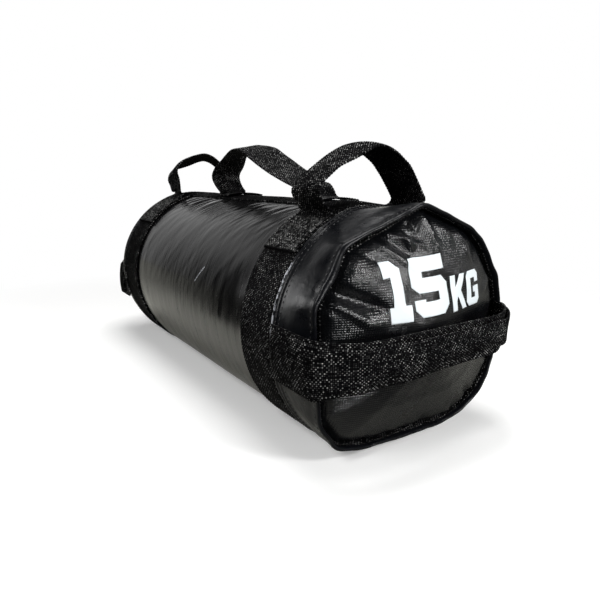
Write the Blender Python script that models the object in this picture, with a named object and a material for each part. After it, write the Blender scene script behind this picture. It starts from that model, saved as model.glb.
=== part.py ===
"""Fitness power bag: a filled vinyl cylinder with webbing rings, upright loops and a grip on each end.

Metres, +Z up. X runs along the bag, +X at its front end. The origin is on the floor, under the middle.
"""
import math

import bmesh
import bpy

# Bag body
BODY_LENGTH = 0.516
BODY_RADIUS = 0.110
FLOOR_DROP = 0.015
VINYL = 0.0010
SEAT = 0.0003
SEGMENTS = 40

# Collars and rims
RIM_LIFT = 0.004
HEM_LENGTH = 0.0140
HEM_THICKNESS = 0.0022
HEM_ROUND = 0.0006
TAPE_WIDTH = 0.0115
TAPE_THICKNESS = 0.0012
TAPE_INSET = 0.0015

# End panels, blunt cones that swell towards their middles
DOME_RISE = 0.0265
FLANGE_LENGTH = 0.0110
FLANGE_INSET = 0.0020
CREVICE_WIDTH = 0.0014
DOME_RADIUS_SHARES = (0.0, 0.30, 0.52, 0.72, 0.86, 0.95, 0.985)
DOME_HEIGHT_SHARES = (1.0, 0.774, 0.490, 0.196, -0.038, -0.220, -0.305)

# Webbing
WEBBING = 0.0020
WEBBING_WIDTH = 0.0496
HANDLE_WIDTH = 0.0480
RING_SETBACK = 0.0537
RAMP_LENGTH = 0.0040

# Loop handles across the rings
TAIL_END_ANGLE = 50.0
FOOT_ANGLE = 24.0
TURN_RADIUS = 0.0025
TURN_ANGLE = 130.0
CROSS_BULGE = 0.0133
CROSS_HEIGHT = 0.0592
CROSS_LOOP_SHARES = (
    (-0.874, 0.139), (-0.966, 0.231), (-1.000, 0.341), (-0.958, 0.459), (-0.840, 0.569), (-0.639, 0.679),
    (-0.336, 0.831), (-0.084, 0.941), (0.134, 1.000), (0.336, 0.997), (0.538, 0.899), (0.739, 0.713),
    (0.908, 0.493), (1.000, 0.307), (0.966, 0.189), (0.874, 0.112),
)

# Long loop handle on the crest
TOP_REAR_FOOT = 0.0717
TOP_FRONT_FOOT = 0.0297
TOP_REAR_TAIL = 0.0510
TOP_FRONT_TAIL = 0.0270
TOP_HEIGHT = 0.0547
TOP_LOOP_SHARES = (
    (-0.024, 0.154), (-0.053, 0.263), (-0.065, 0.391), (-0.048, 0.528), (0.005, 0.675), (0.077, 0.812),
    (0.149, 0.931), (0.212, 1.000), (0.274, 1.000), (0.332, 0.931), (0.399, 0.821), (0.486, 0.702),
    (0.606, 0.537), (0.726, 0.382), (0.846, 0.227), (0.909, 0.126), (0.942, 0.058), (0.971, 0.015),
)

# Where a swinging loop leaves its sewn ends: on a circle about the line through its feet
SWING_CUT_RADIUS = 0.0300
SWING_CUT_GAP = 0.0010

# Straps and grips on the ends
SIDE_STRAP_WIDTH = 0.0490
FACE_STRAP_WIDTH = 0.0370
SIDE_STRAP_HEIGHT = -0.0065
FACE_STRAP_HEIGHT = -0.0020
STRAP_STANDOFF = 0.0008
GRIP_NARROWER = 0.0035
GRIP_STANDOFF = 0.0121
GRIP_CUP = 0.0035
GRIP_LAP = 0.0180
GRIP_SPLIT_SHARE = 0.72
GRIP_SPLIT_GAP = 0.0006
CUP_START_SHARE = 0.76
CUP_FULL_SHARE = 0.54
STRAP_CORNER_SHARES = (
    (-0.212, 1.000), (0.000, 1.000), (0.212, 0.979), (0.424, 0.930), (0.636, 0.858),
    (0.813, 0.773), (0.940, 0.674), (0.993, 0.557), (1.000, 0.404), (1.000, 0.225),
)
GRIP_CORNER_SHARES = (
    (-0.149, 1.000), (0.025, 1.000), (0.198, 0.973), (0.371, 0.920), (0.545, 0.845),
    (0.705, 0.757), (0.842, 0.660), (0.923, 0.546), (0.980, 0.396), (1.000, 0.220),
)

# Inner bag and its filling
BAG_FABRIC = 0.0008
BAG_SLACK = 0.0004
BAG_MOUTH_RADIUS = 0.0300
BAG_SHOULDER = 0.0040
# The sack stands off the end panels, which lie over it in loose folds
BAG_END_SLACK = 0.0030

# How finely curves are divided and shaded
SHARP_ANGLE = 40.0
LINE_SAMPLES = 10
FACET_TURN = 15.0
ARC_POINTS = 5
STRAP_COLUMNS = 6
STRIP_FACETS = 6
CROWN_COLUMNS = 4

# Places that follow from the sizes above
AXIS_HEIGHT = BODY_RADIUS - FLOOR_DROP
RIM = BODY_LENGTH / 2
RING_FRONT = RIM - RING_SETBACK
RING_REAR = RING_FRONT - WEBBING_WIDTH
RING_MIDDLE = (RING_FRONT + RING_REAR) / 2
RING_INNER = BODY_RADIUS + SEAT
RING_OUTER = RING_INNER + WEBBING
RING_FLAT = AXIS_HEIGHT - WEBBING - SEAT
TAIL_INNER = RING_OUTER + SEAT
TAIL_MIDDLE = TAIL_INNER + WEBBING / 2
JOINT_GAP = SEAT


def material(name, colour, roughness):
    """A plain Principled BSDF."""
    made = bpy.data.materials.new(name)
    made.use_nodes = True
    shader = made.node_tree.nodes["Principled BSDF"]
    shader.inputs["Base Color"].default_value = (*colour, 1.0)
    shader.inputs["Roughness"].default_value = roughness
    shader.inputs["Metallic"].default_value = 0.0
    return made


def empty_scene():
    """Removes every object that the new file came with."""
    for old in list(bpy.data.objects):
        bpy.data.objects.remove(old, do_unlink=True)


def finish_mesh(name, mesh_data, surface, origin=(0.0, 0.0, 0.0)):
    """Turns a bmesh in world coordinates into a smooth-shaded object whose origin is at the given point."""
    bmesh.ops.recalc_face_normals(mesh_data, faces=mesh_data.faces)
    bmesh.ops.translate(mesh_data, verts=mesh_data.verts, vec=[-value for value in origin])
    mesh = bpy.data.meshes.new(name)
    mesh_data.to_mesh(mesh)
    mesh_data.free()
    mesh.shade_smooth()
    mesh.set_sharp_from_angle(angle=math.radians(SHARP_ANGLE))
    mesh.materials.append(surface)
    made = bpy.data.objects.new(name, mesh)
    made.location = origin
    bpy.context.scene.collection.objects.link(made)
    return made


def ease(share):
    """0 to 1 with level ends."""
    held = min(max(share, 0.0), 1.0)
    return held * held * (3 - 2 * held)


def blended(first, second, share):
    """The value that lies that share of the way from first to second."""
    return first + (second - first) * share


def turned_shell(name, profile, surface, closed=True):
    """Turns a profile of (x, radius, flat depth) points round the bag's axis, each ring cut flat at its depth.

    A closed profile comes back to its first point. An open one starts and ends on the axis. Every band
    between two rings is split along the same diagonal, seen from the same end, so that nested shells keep
    their distance.
    """
    shell = bmesh.new()
    rings = []
    for x, radius, flat in profile:
        if radius == 0:
            rings.append([shell.verts.new((x, 0.0, AXIS_HEIGHT))])
            continue
        ring = []
        for step in range(SEGMENTS):
            angle = math.tau * step / SEGMENTS
            height = max(radius * math.cos(angle), -flat)
            ring.append(shell.verts.new((x, radius * math.sin(angle), AXIS_HEIGHT + height)))
        rings.append(ring)
    pairs = list(zip(rings, rings[1:]))
    if closed:
        pairs.append((rings[-1], rings[0]))
    for low, high in pairs:
        if high[0].co.x > low[0].co.x:
            low, high = high, low
        for step in range(SEGMENTS):
            after = (step + 1) % SEGMENTS
            if len(high) > 1:
                shell.faces.new((low[step % len(low)], high[after], high[step]))
            if len(low) > 1:
                shell.faces.new((low[step], low[after], high[after % len(high)]))
    return finish_mesh(name, shell, surface)


def facing(profile, end):
    """The profile as it stands at the front end (+1) or mirrored at the rear end (-1)."""
    return [(end * x, radius, flat) for x, radius, flat in profile]


class Line:
    """A smooth flat line through points, measured along its length."""

    def __init__(self, points):
        self.places = []
        for index in range(len(points) - 1):
            before = points[max(index - 1, 0)]
            after = points[min(index + 2, len(points) - 1)]
            for step in range(LINE_SAMPLES):
                share = step / LINE_SAMPLES
                self.places.append(self.between(before, points[index], points[index + 1], after, share))
        self.places.append(points[-1])
        self.reach = [0.0]
        for first, second in zip(self.places, self.places[1:]):
            self.reach.append(self.reach[-1] + math.dist(first, second))
        self.length = self.reach[-1]
        self.breaks = [0.0]
        for index in range(0, len(self.places) - 1, LINE_SAMPLES):
            first, last = self.reach[index], self.reach[index + LINE_SAMPLES]
            turns = [self.slope(index + step) for step in range(LINE_SAMPLES + 1)]
            alike = [one[0] * two[0] + one[1] * two[1] for one, two in zip(turns, turns[1:])]
            bend = sum(math.acos(min(value, 1.0)) for value in alike)
            pieces = max(1, math.ceil(bend / math.radians(FACET_TURN)))
            self.breaks += [blended(first, last, (piece + 1) / pieces) for piece in range(pieces)]

    @staticmethod
    def between(before, first, second, after, share):
        """A point of the cubic from first to second, whose slopes suit the spans on each side."""
        span = math.dist(first, second)
        span_before = math.dist(before, first) or span
        span_after = math.dist(second, after) or span
        cube, square = share ** 3, share ** 2
        point = []
        for axis in range(2):
            straight = (second[axis] - first[axis]) / span
            out = (second[axis] - before[axis]) / (span + span_before) if before != first else straight
            into = (after[axis] - first[axis]) / (span + span_after) if after != second else straight
            point.append(
                (2 * cube - 3 * square + 1) * first[axis]
                + (cube - 2 * square + share) * out * span
                + (3 * square - 2 * cube) * second[axis]
                + (cube - square) * into * span
            )
        return tuple(point)

    def at(self, distance, offset):
        """The point that far along, moved sideways by the offset, to the left of the line's run."""
        held = min(max(distance, 0.0), self.length)
        index = 0
        while index < len(self.reach) - 2 and self.reach[index + 1] < held:
            index += 1
        share = (held - self.reach[index]) / (self.reach[index + 1] - self.reach[index])
        first, second = self.places[index], self.places[index + 1]
        run = (self.slope(index), self.slope(index + 1))
        ahead = [blended(run[0][axis], run[1][axis], share) for axis in range(2)]
        size = math.hypot(*ahead)
        side = (-ahead[1] / size, ahead[0] / size)
        return tuple(blended(first[axis], second[axis], share) + offset * side[axis] for axis in range(2))

    def slope(self, index):
        """The direction of the line at one of its places."""
        first = self.places[max(index - 1, 0)]
        second = self.places[min(index + 1, len(self.places) - 1)]
        size = math.dist(first, second)
        return tuple((second[axis] - first[axis]) / size for axis in range(2))

    def crossing(self, axis, value, offset, backwards=False):
        """The distance where the offset line first passes the value on that axis, from either end."""
        order = self.reach[::-1] if backwards else self.reach
        previous = order[0]
        previous_value = self.at(previous, offset)[axis] - value
        for distance in order[1:]:
            new_value = self.at(distance, offset)[axis] - value
            if previous_value * new_value <= 0:
                share = previous_value / (previous_value - new_value)
                return blended(previous, distance, share)
            previous, previous_value = distance, new_value
        raise ValueError("the line never passes that value")


def strap(name, surface, line, columns, place, starts, ends, origin=(0.0, 0.0, 0.0)):
    """A closed strip of webbing along a line. place gives the point for (distance, side, share across)."""
    web = bmesh.new()
    begin, stop = starts(0.0, 1), ends(0.0, 1)
    margin = (stop - begin) / len(line.breaks) / 4
    inside = [distance for distance in line.breaks if begin + margin < distance < stop - margin]
    shares = [0.0] + [(distance - begin) / (stop - begin) for distance in inside] + [1.0]
    steps = len(shares) - 1
    grid = {}
    for side in (1, -1):
        for column in range(columns + 1):
            across = column / columns - 1 / 2
            first, last = starts(across, side), ends(across, side)
            for step, share in enumerate(shares):
                distance = blended(first, last, share)
                grid[side, column, step] = web.verts.new(place(distance, side, across))
    for column in range(columns):
        for step in range(steps):
            corners = ((column, step), (column + 1, step), (column + 1, step + 1), (column, step + 1))
            web.faces.new([grid[(1, *corner)] for corner in corners])
            web.faces.new([grid[(-1, *corner)] for corner in reversed(corners)])
    for step in range(steps):
        for column in (0, columns):
            ring = ((1, step), (1, step + 1), (-1, step + 1), (-1, step))
            web.faces.new([grid[side, column, row] for side, row in ring])
    for column in range(columns):
        for step in (0, steps):
            ring = ((1, column), (1, column + 1), (-1, column + 1), (-1, column))
            web.faces.new([grid[side, place_across, step] for side, place_across in ring])
    return finish_mesh(name, web, surface, origin)


def build_cover(vinyl):
    """The tube between the two rings' middles. Its flat is raised under each ring by the webbing."""
    end = RING_MIDDLE - JOINT_GAP / 2
    ramp = RING_REAR - RAMP_LENGTH
    half = [(end, RING_FLAT - SEAT), (RING_REAR, RING_FLAT - SEAT), (ramp, AXIS_HEIGHT)]
    outer = [(x, BODY_RADIUS, flat) for x, flat in half]
    outer += [(-x, BODY_RADIUS, flat) for x, flat in reversed(half)]
    inner = [(x, radius - VINYL, flat - VINYL) for x, radius, flat in reversed(outer)]
    turned_shell("cover_tube", outer + inner, vinyl)


def build_collar(end, prefix, vinyl):
    """The vinyl band from the ring to the rim, with its turned-in double hem."""
    start = RING_MIDDLE + JOINT_GAP / 2
    ramp = RING_FRONT + RAMP_LENGTH
    rim_flat = AXIS_HEIGHT - RIM_LIFT
    hem_start = RIM - HEM_LENGTH
    hem_inner = BODY_RADIUS - HEM_THICKNESS
    hem_flat = rim_flat - HEM_THICKNESS
    middle_flat = (AXIS_HEIGHT + rim_flat) / 2
    profile = [
        (start, BODY_RADIUS, RING_FLAT - SEAT),
        (RING_FRONT, BODY_RADIUS, RING_FLAT - SEAT),
        (ramp, BODY_RADIUS, AXIS_HEIGHT),
        (hem_start, BODY_RADIUS, middle_flat),
        (RIM - HEM_ROUND, BODY_RADIUS, rim_flat),
        (RIM, BODY_RADIUS - HEM_ROUND, rim_flat - HEM_ROUND),
        (RIM - HEM_ROUND, hem_inner, hem_flat),
        (hem_start, hem_inner, middle_flat - HEM_THICKNESS),
        (hem_start - HEM_THICKNESS, BODY_RADIUS - VINYL, middle_flat - VINYL),
        (ramp, BODY_RADIUS - VINYL, RING_FLAT - SEAT - VINYL),
        (start, BODY_RADIUS - VINYL, RING_FLAT - SEAT - VINYL),
    ]
    turned_shell(prefix + "_collar", facing(profile, end), vinyl)


def tape_inner():
    """The inner radius of the rim tape."""
    return BODY_RADIUS - HEM_THICKNESS - SEAT - TAPE_THICKNESS


def rim_flat_at(radius):
    """How deep a ring of that radius is cut flat near the rim, so that nested rings keep their distance."""
    return AXIS_HEIGHT - RIM_LIFT - (BODY_RADIUS - radius)


def build_rim_tape(end, prefix, webbing):
    """The narrow tape that is sewn between the hem and the end panel's flange."""
    front = RIM - TAPE_INSET
    rear = front - TAPE_WIDTH
    inner = tape_inner()
    outer = inner + TAPE_THICKNESS
    corners = ((front, outer), (rear, outer), (rear, inner), (front, inner))
    profile = [(x, radius, rim_flat_at(radius)) for x, radius in corners]
    turned_shell(prefix + "_rim_tape", facing(profile, end), webbing)


def dome_points(inset):
    """(x, radius, flat depth) points of the panel's surface, from its middle outwards, set back by the inset.

    Its rings are flattened at the bottom in proportion, down to none in the middle.
    """
    shoulder = tape_inner() - SEAT - VINYL - CREVICE_WIDTH
    flat_share = rim_flat_at(shoulder) / shoulder
    points = []
    for radius_share, height_share in zip(DOME_RADIUS_SHARES, DOME_HEIGHT_SHARES):
        slope = ease(radius_share)
        x = RIM + DOME_RISE * height_share - inset * (1 - slope / 2)
        radius = radius_share * (shoulder - inset * slope)
        points.append((x, radius, radius * flat_share))
    return points


def build_end_panel(end, prefix, surface):
    """A blunt cone whose edge turns back out of a narrow crevice into a flange beside the hem."""
    flange_outer = tape_inner() - SEAT
    flange_inner = flange_outer - VINYL
    flange_front = RIM - FLANGE_INSET
    flange_rear = flange_front - FLANGE_LENGTH
    edge = (
        (flange_rear + VINYL, flange_inner - CREVICE_WIDTH / 2),
        (flange_front, flange_inner),
        (flange_front, flange_outer),
        (flange_rear, flange_outer),
    )
    flange = [(x, radius, rim_flat_at(radius)) for x, radius in edge]
    profile = dome_points(0.0) + flange + dome_points(VINYL)[::-1]
    turned_shell(prefix + "_end_panel", facing(profile, end), surface, closed=False)


def build_ring(end, prefix, webbing):
    """The webbing that is sewn round the bag near each end."""
    profile = [
        (RING_REAR, RING_INNER, RING_FLAT),
        (RING_FRONT, RING_INNER, RING_FLAT),
        (RING_FRONT, RING_OUTER, AXIS_HEIGHT),
        (RING_REAR, RING_OUTER, AXIS_HEIGHT),
    ]
    turned_shell(prefix + "_ring_webbing", facing(profile, end), webbing)


def build_top_strip(webbing):
    """The webbing along the crest, from ring to ring."""
    reach = RING_REAR - SEAT
    half_angle = math.asin(WEBBING_WIDTH / 2 / RING_OUTER)
    strip = bmesh.new()
    columns = []
    for step in range(STRIP_FACETS + 1):
        angle = half_angle * (2 * step / STRIP_FACETS - 1)
        column = []
        for radius in (RING_INNER, RING_OUTER):
            for x in (-reach, reach):
                y, height = radius * math.sin(angle), radius * math.cos(angle)
                column.append(strip.verts.new((x, y, AXIS_HEIGHT + height)))
        columns.append(column)
    for first, second in zip(columns, columns[1:]):
        for one, two in ((0, 1), (1, 3), (3, 2), (2, 0)):
            strip.faces.new((first[one], first[two], second[two], second[one]))
    for column in (columns[0], columns[-1]):
        strip.faces.new((column[0], column[1], column[3], column[2]))
    finish_mesh("top_strip", strip, webbing)


def turn_points(foot, heading):
    """The tight turn in which a strap leaves its sewn tail, from its foot and its heading in radians."""
    centre = (foot[0] - TURN_RADIUS * math.sin(heading), foot[1] + TURN_RADIUS * math.cos(heading))
    points = []
    for step in range(ARC_POINTS + 1):
        angle = heading + math.radians(TURN_ANGLE) * step / ARC_POINTS
        points.append((centre[0] + TURN_RADIUS * math.sin(angle), centre[1] - TURN_RADIUS * math.cos(angle)))
    return points


def cross_line():
    """The cross handle's line in (y, height above the bag's axis), from one tail's end to the other's."""
    tail = []
    for step in range(ARC_POINTS + 1):
        angle = math.radians(blended(TAIL_END_ANGLE, FOOT_ANGLE, step / ARC_POINTS))
        tail.append((-TAIL_MIDDLE * math.sin(angle), TAIL_MIDDLE * math.cos(angle)))
    foot = tail[-1]
    sewn = tail[:-1] + turn_points(foot, math.radians(FOOT_ANGLE))
    spread = -foot[0] + CROSS_BULGE
    loop = [(spread * across, foot[1] + CROSS_HEIGHT * rise) for across, rise in CROSS_LOOP_SHARES]
    return Line(sewn + loop + [(-y, height) for y, height in reversed(sewn)])


def swing_cut(across, radius):
    """How high above the feet the cut between sewn end and loop lies, at that place across the strap."""
    return math.sqrt(radius ** 2 - (across * HANDLE_WIDTH) ** 2)


def build_cross_handle(end, prefix, webbing):
    """A loop across the ring, which swings about the line through its feet, and its two sewn ends."""
    line = cross_line()
    foot_height = TAIL_MIDDLE * math.cos(math.radians(FOOT_ANGLE))
    middle = end * RING_MIDDLE
    root_radius = SWING_CUT_RADIUS - SWING_CUT_GAP / 2
    loop_radius = SWING_CUT_RADIUS + SWING_CUT_GAP / 2

    def place(distance, side, across):
        y, height = line.at(distance, side * WEBBING / 2)
        return middle + across * HANDLE_WIDTH, y, AXIS_HEIGHT + height

    def cut(across, side, radius, backwards):
        height = foot_height + swing_cut(across, radius)
        return line.crossing(1, height, side * WEBBING / 2, backwards)

    # No part of the tails is as high as the cut, so the first place at its height is on the loop
    strap(
        prefix + "_cross_handle_left_end", webbing, line, STRAP_COLUMNS, place,
        lambda across, side: 0.0,
        lambda across, side: cut(across, side, root_radius, False))
    strap(
        prefix + "_cross_handle_right_end", webbing, line, STRAP_COLUMNS, place,
        lambda across, side: cut(across, side, root_radius, True),
        lambda across, side: line.length)
    strap(
        prefix + "_cross_handle", webbing, line, STRAP_COLUMNS, place,
        lambda across, side: cut(across, side, loop_radius, False),
        lambda across, side: cut(across, side, loop_radius, True),
        origin=(middle, 0.0, AXIS_HEIGHT + foot_height))


def top_line():
    """The long handle's line in (x, height above the bag's axis), from its rear tail to its front tail."""
    rear_foot = -RING_REAR + TOP_REAR_FOOT
    front_foot = RING_REAR - TOP_FRONT_FOOT
    span = front_foot - rear_foot
    rear = [(rear_foot - TOP_REAR_TAIL, TAIL_MIDDLE), (rear_foot - TOP_REAR_TAIL / 2, TAIL_MIDDLE)]
    turn = turn_points((rear_foot, TAIL_MIDDLE), 0.0)
    loop = [(rear_foot + span * along, TAIL_MIDDLE + TOP_HEIGHT * rise) for along, rise in TOP_LOOP_SHARES]
    front = [(front_foot, TAIL_MIDDLE), (front_foot + TOP_FRONT_TAIL, TAIL_MIDDLE)]
    return Line(rear + turn + loop + front)


def build_top_handle(webbing):
    """The long loop on the crest, which swings to both sides, and its two sewn ends."""
    line = top_line()
    root_radius = SWING_CUT_RADIUS - SWING_CUT_GAP / 2
    loop_radius = SWING_CUT_RADIUS + SWING_CUT_GAP / 2

    def crown(across):
        return math.sqrt(TAIL_MIDDLE ** 2 - (across * HANDLE_WIDTH) ** 2) - TAIL_MIDDLE

    def place(distance, side, across):
        x, height = line.at(distance, side * WEBBING / 2)
        return x, across * HANDLE_WIDTH, AXIS_HEIGHT + height + crown(across)

    def cut(across, side, radius, backwards):
        height = TAIL_MIDDLE + swing_cut(across, radius) - crown(across)
        return line.crossing(1, height, side * WEBBING / 2, backwards)

    strap(
        "top_handle_rear_end", webbing, line, STRAP_COLUMNS, place,
        lambda across, side: 0.0,
        lambda across, side: cut(across, side, root_radius, False))
    strap(
        "top_handle_front_end", webbing, line, STRAP_COLUMNS, place,
        lambda across, side: cut(across, side, root_radius, True),
        lambda across, side: line.length)
    strap(
        "top_handle", webbing, line, STRAP_COLUMNS, place,
        lambda across, side: cut(across, side, loop_radius, False),
        lambda across, side: cut(across, side, loop_radius, True),
        origin=(0.0, 0.0, AXIS_HEIGHT + TAIL_MIDDLE))


def end_line(start, radius, face, shares):
    """A strap's line round one end in (x, y), from the ring's edge over the rim and across the face."""
    half = [(start, -radius)]
    half += [(RIM + face * along, -radius * out) for along, out in shares]
    middle = [(RIM + face, 0.0)]
    return Line(half + middle + [(x, -y) for x, y in reversed(half)])


def build_end_strap(end, prefix, webbing):
    """The strap that is sewn round the end from the ring's edge, and the cupped grip that stands off it."""
    strap_radius = BODY_RADIUS + SEAT + WEBBING / 2
    strap_face = DOME_RISE + STRAP_STANDOFF + WEBBING / 2
    grip_radius = strap_radius + WEBBING + SEAT
    grip_face = strap_face + GRIP_STANDOFF
    base = end_line(RING_FRONT + SEAT, strap_radius, strap_face, STRAP_CORNER_SHARES)
    outer = end_line(RIM - GRIP_LAP, grip_radius, grip_face, GRIP_CORNER_SHARES)

    def placed(line, radius, face, narrower, cup, distance, side, across):
        x, y = line.at(distance, -side * WEBBING / 2)
        onto_face = ease((x - RIM) / face)
        width = blended(SIDE_STRAP_WIDTH, FACE_STRAP_WIDTH, onto_face) - narrower
        height = blended(SIDE_STRAP_HEIGHT, FACE_STRAP_HEIGHT, onto_face) + across * width
        drawn_in = (radius - math.sqrt(radius ** 2 - height ** 2)) * (1 - onto_face)
        y -= math.copysign(drawn_in, y)
        cupped = ease((CUP_START_SHARE - abs(y) / radius) / (CUP_START_SHARE - CUP_FULL_SHARE))
        x -= cup * cupped * (2 * across) ** 2
        return end * x, y, AXIS_HEIGHT + height

    def place_base(distance, side, across):
        return placed(base, strap_radius, strap_face, 0.0, 0.0, distance, side, across)

    def place_grip(distance, side, across):
        return placed(outer, grip_radius, grip_face, GRIP_NARROWER, GRIP_CUP, distance, side, across)

    def split(side, reach, backwards):
        where = reach if backwards else -reach
        return outer.crossing(1, where, -side * WEBBING / 2, backwards)

    sewn_reach = grip_radius * GRIP_SPLIT_SHARE
    free_reach = sewn_reach - GRIP_SPLIT_GAP
    strap(
        prefix + "_end_strap", webbing, base, CROWN_COLUMNS, place_base,
        lambda across, side: 0.0,
        lambda across, side: base.length)
    strap(
        prefix + "_end_grip_left_end", webbing, outer, CROWN_COLUMNS, place_grip,
        lambda across, side: 0.0,
        lambda across, side: split(side, sewn_reach, False))
    strap(
        prefix + "_end_grip_right_end", webbing, outer, CROWN_COLUMNS, place_grip,
        lambda across, side: split(side, sewn_reach, True),
        lambda across, side: outer.length)
    strap(
        prefix + "_end_grip", webbing, outer, CROWN_COLUMNS, place_grip,
        lambda across, side: split(side, free_reach, False),
        lambda across, side: split(side, free_reach, True),
        origin=(end * (RIM + grip_face), 0.0, AXIS_HEIGHT + FACE_STRAP_HEIGHT))


def bag_outline(slack):
    """(x, radius, flat depth) points of a filled bag that lies that far inside the cover, by its halves."""
    radius = BODY_RADIUS - VINYL - slack
    flat = RING_FLAT - SEAT - VINYL - slack
    shoulder = RIM - HEM_LENGTH - HEM_THICKNESS - BAG_SHOULDER - slack
    half = dome_points(VINYL + slack + BAG_END_SLACK)[:-1:2]
    half.append((shoulder, radius, flat))
    return half, [(-x, ring, depth) for x, ring, depth in reversed(half)]


def build_inner_bag(fabric):
    """The inner sack that holds the filling, with its filling mouth in the middle of its rear end."""
    front_outer, rear_outer = bag_outline(BAG_SLACK)
    front_inner, rear_inner = bag_outline(BAG_SLACK + BAG_FABRIC)
    for outline in (rear_outer, rear_inner):
        (ring_x, ring_radius, ring_flat), (centre_x, _, _) = outline[-2:]
        share = BAG_MOUTH_RADIUS / ring_radius
        outline[-1] = (blended(centre_x, ring_x, share), BAG_MOUTH_RADIUS, ring_flat * share)
    profile = front_outer + rear_outer + (front_inner + rear_inner)[::-1]
    turned_shell("inner_bag", profile, fabric, closed=False)


def build_filling(grains):
    """The packed filling, one solid inside the inner sack."""
    front, rear = bag_outline(2 * BAG_SLACK + BAG_FABRIC)
    turned_shell("filling", front + rear, grains, closed=False)


def build():
    """Models the whole bag."""
    empty_scene()
    vinyl = material("black_vinyl", (0.012, 0.012, 0.013), 0.28)
    grid_vinyl = material("grid_vinyl", (0.020, 0.020, 0.021), 0.38)
    webbing = material("black_webbing", (0.015, 0.015, 0.015), 0.85)
    fabric = material("liner_fabric", (0.22, 0.22, 0.20), 0.90)
    grains = material("filling_grains", (0.30, 0.25, 0.18), 0.95)
    build_cover(vinyl)
    build_top_strip(webbing)
    build_top_handle(webbing)
    for end, prefix in ((1, "front"), (-1, "rear")):
        build_collar(end, prefix, vinyl)
        build_rim_tape(end, prefix, webbing)
        build_end_panel(end, prefix, grid_vinyl)
        build_ring(end, prefix, webbing)
        build_cross_handle(end, prefix, webbing)
        build_end_strap(end, prefix, webbing)
    build_inner_bag(fabric)
    build_filling(grains)


build()
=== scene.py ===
"""Fitness power bag: a filled vinyl bag with sewn webbing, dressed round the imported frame. Metres, +Z up."""
import math

import bmesh
import bpy
from mathutils import Matrix, Vector, noise


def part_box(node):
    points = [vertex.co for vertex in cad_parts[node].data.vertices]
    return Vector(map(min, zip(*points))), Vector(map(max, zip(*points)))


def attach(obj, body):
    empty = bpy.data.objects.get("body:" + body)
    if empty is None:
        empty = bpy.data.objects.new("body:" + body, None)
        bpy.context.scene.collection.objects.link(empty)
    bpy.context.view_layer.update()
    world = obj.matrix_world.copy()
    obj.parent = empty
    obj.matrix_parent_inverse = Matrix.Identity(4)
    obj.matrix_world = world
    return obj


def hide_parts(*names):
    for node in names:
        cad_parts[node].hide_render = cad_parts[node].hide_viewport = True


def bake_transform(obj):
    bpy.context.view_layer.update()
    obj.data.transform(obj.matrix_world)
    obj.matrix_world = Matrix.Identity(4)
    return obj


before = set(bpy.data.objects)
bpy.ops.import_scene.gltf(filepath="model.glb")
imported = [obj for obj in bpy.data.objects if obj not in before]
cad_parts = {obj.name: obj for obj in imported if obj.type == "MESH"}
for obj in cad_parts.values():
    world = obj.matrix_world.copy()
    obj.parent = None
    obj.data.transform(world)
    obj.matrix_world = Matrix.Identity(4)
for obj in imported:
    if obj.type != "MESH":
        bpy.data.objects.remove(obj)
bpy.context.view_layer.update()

MM = 0.001

# The bag's own sizes, read from the frame
cover_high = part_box("cover_tube")[1]
ring_low, ring_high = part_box("front_ring_webbing")
strip_low, strip_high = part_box("top_strip")
strap_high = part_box("front_end_strap")[1]
RADIUS = cover_high.y
AXIS = cover_high.z - RADIUS
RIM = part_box("front_collar")[1].x
RING_REAR, RING_FRONT = ring_low.x, ring_high.x
RING_MIDDLE = (RING_REAR + RING_FRONT) / 2
RING_OUTER = ring_high.y
SKIN = 0.9 * MM
WEBBING = 2.0 * MM
LAYER_GAP = 0.3 * MM
TAIL_RADIUS = RING_OUTER + LAYER_GAP + WEBBING / 2
STRAP_RADIUS = strap_high.y - WEBBING / 2
STRAP_FACE = strap_high.x - RIM - WEBBING / 2
GRIP_RADIUS = STRAP_RADIUS + WEBBING + LAYER_GAP
GRIP_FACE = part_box("front_end_grip")[1].x - RIM - WEBBING / 2

# How softly the bag meets the floor
FLOOR_SOFTNESS = 4.0 * MM

# The two rims as (y, height above the bag's axis), in millimetres, once round from the top
FRONT_RIM_OUTLINE = (
    (5, 114), (-36, 99), (-79, 84), (-92, 60.5), (-105, 41), (-104, 16), (-98.5, -57.5), (-80.5, -81.5),
    (-50, -89.3), (-20, -89.6), (8, -90.5), (45, -90), (67, -85), (91, -71.5), (104.3, -54.6), (111.3, -30),
    (113, 18), (107, 42), (87, 73.5), (67, 91.5),
)
REAR_RIM_OUTLINE = (
    (0, 99), (-47, 84), (-66, 70.3), (-82, 51.3), (-89, 35.6), (-95.4, 8), (-92, -40), (-74, -70), (-46, -88),
    (0, -91), (46, -88), (74, -70), (92, -40), (96, 8), (90, 36), (83, 52), (66, 71), (47, 84),
)
RIM_ROUNDING = 2.5
RIM_TABLE_STEPS = 720

# The collar from under the ring to the lip and back inside: (distance in front of the ring in mm, share of
# the way from round to the rim's outline, offset outwards from there in mm)
COLLAR_PROFILE = (
    (-24.5, 0, -1.2), (-3, 0, -1.2), (0.2, 0, -0.9), (0.6, 0, 0.8), (1.4, 0, 2.0), (3.2, 0.01, 2.1),
    (4.2, 0.01, 1.2), (4.7, 0.01, 1.0), (5.3, 0.02, 1.3), (7.4, 0.03, 1.2), (8.0, 0.03, 0.6),
    (8.5, 0.04, 0.5), (9.4, 0.04, 0.5), (14, 0.08, 0.3), (20, 0.18, 0.4), (30, 0.42, 0.9), (40, 0.70, 0.5),
    (46, 0.88, 0.0),
    (50, 0.97, 0.1), (52.4, 1.0, 0.0), (53.5, 1.0, -1.2), (53.2, 1.0, -2.6), (51.5, 1.0, -3.4),
    (47, 1.0, -3.8), (41, 1.0, -4.0),
)
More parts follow.
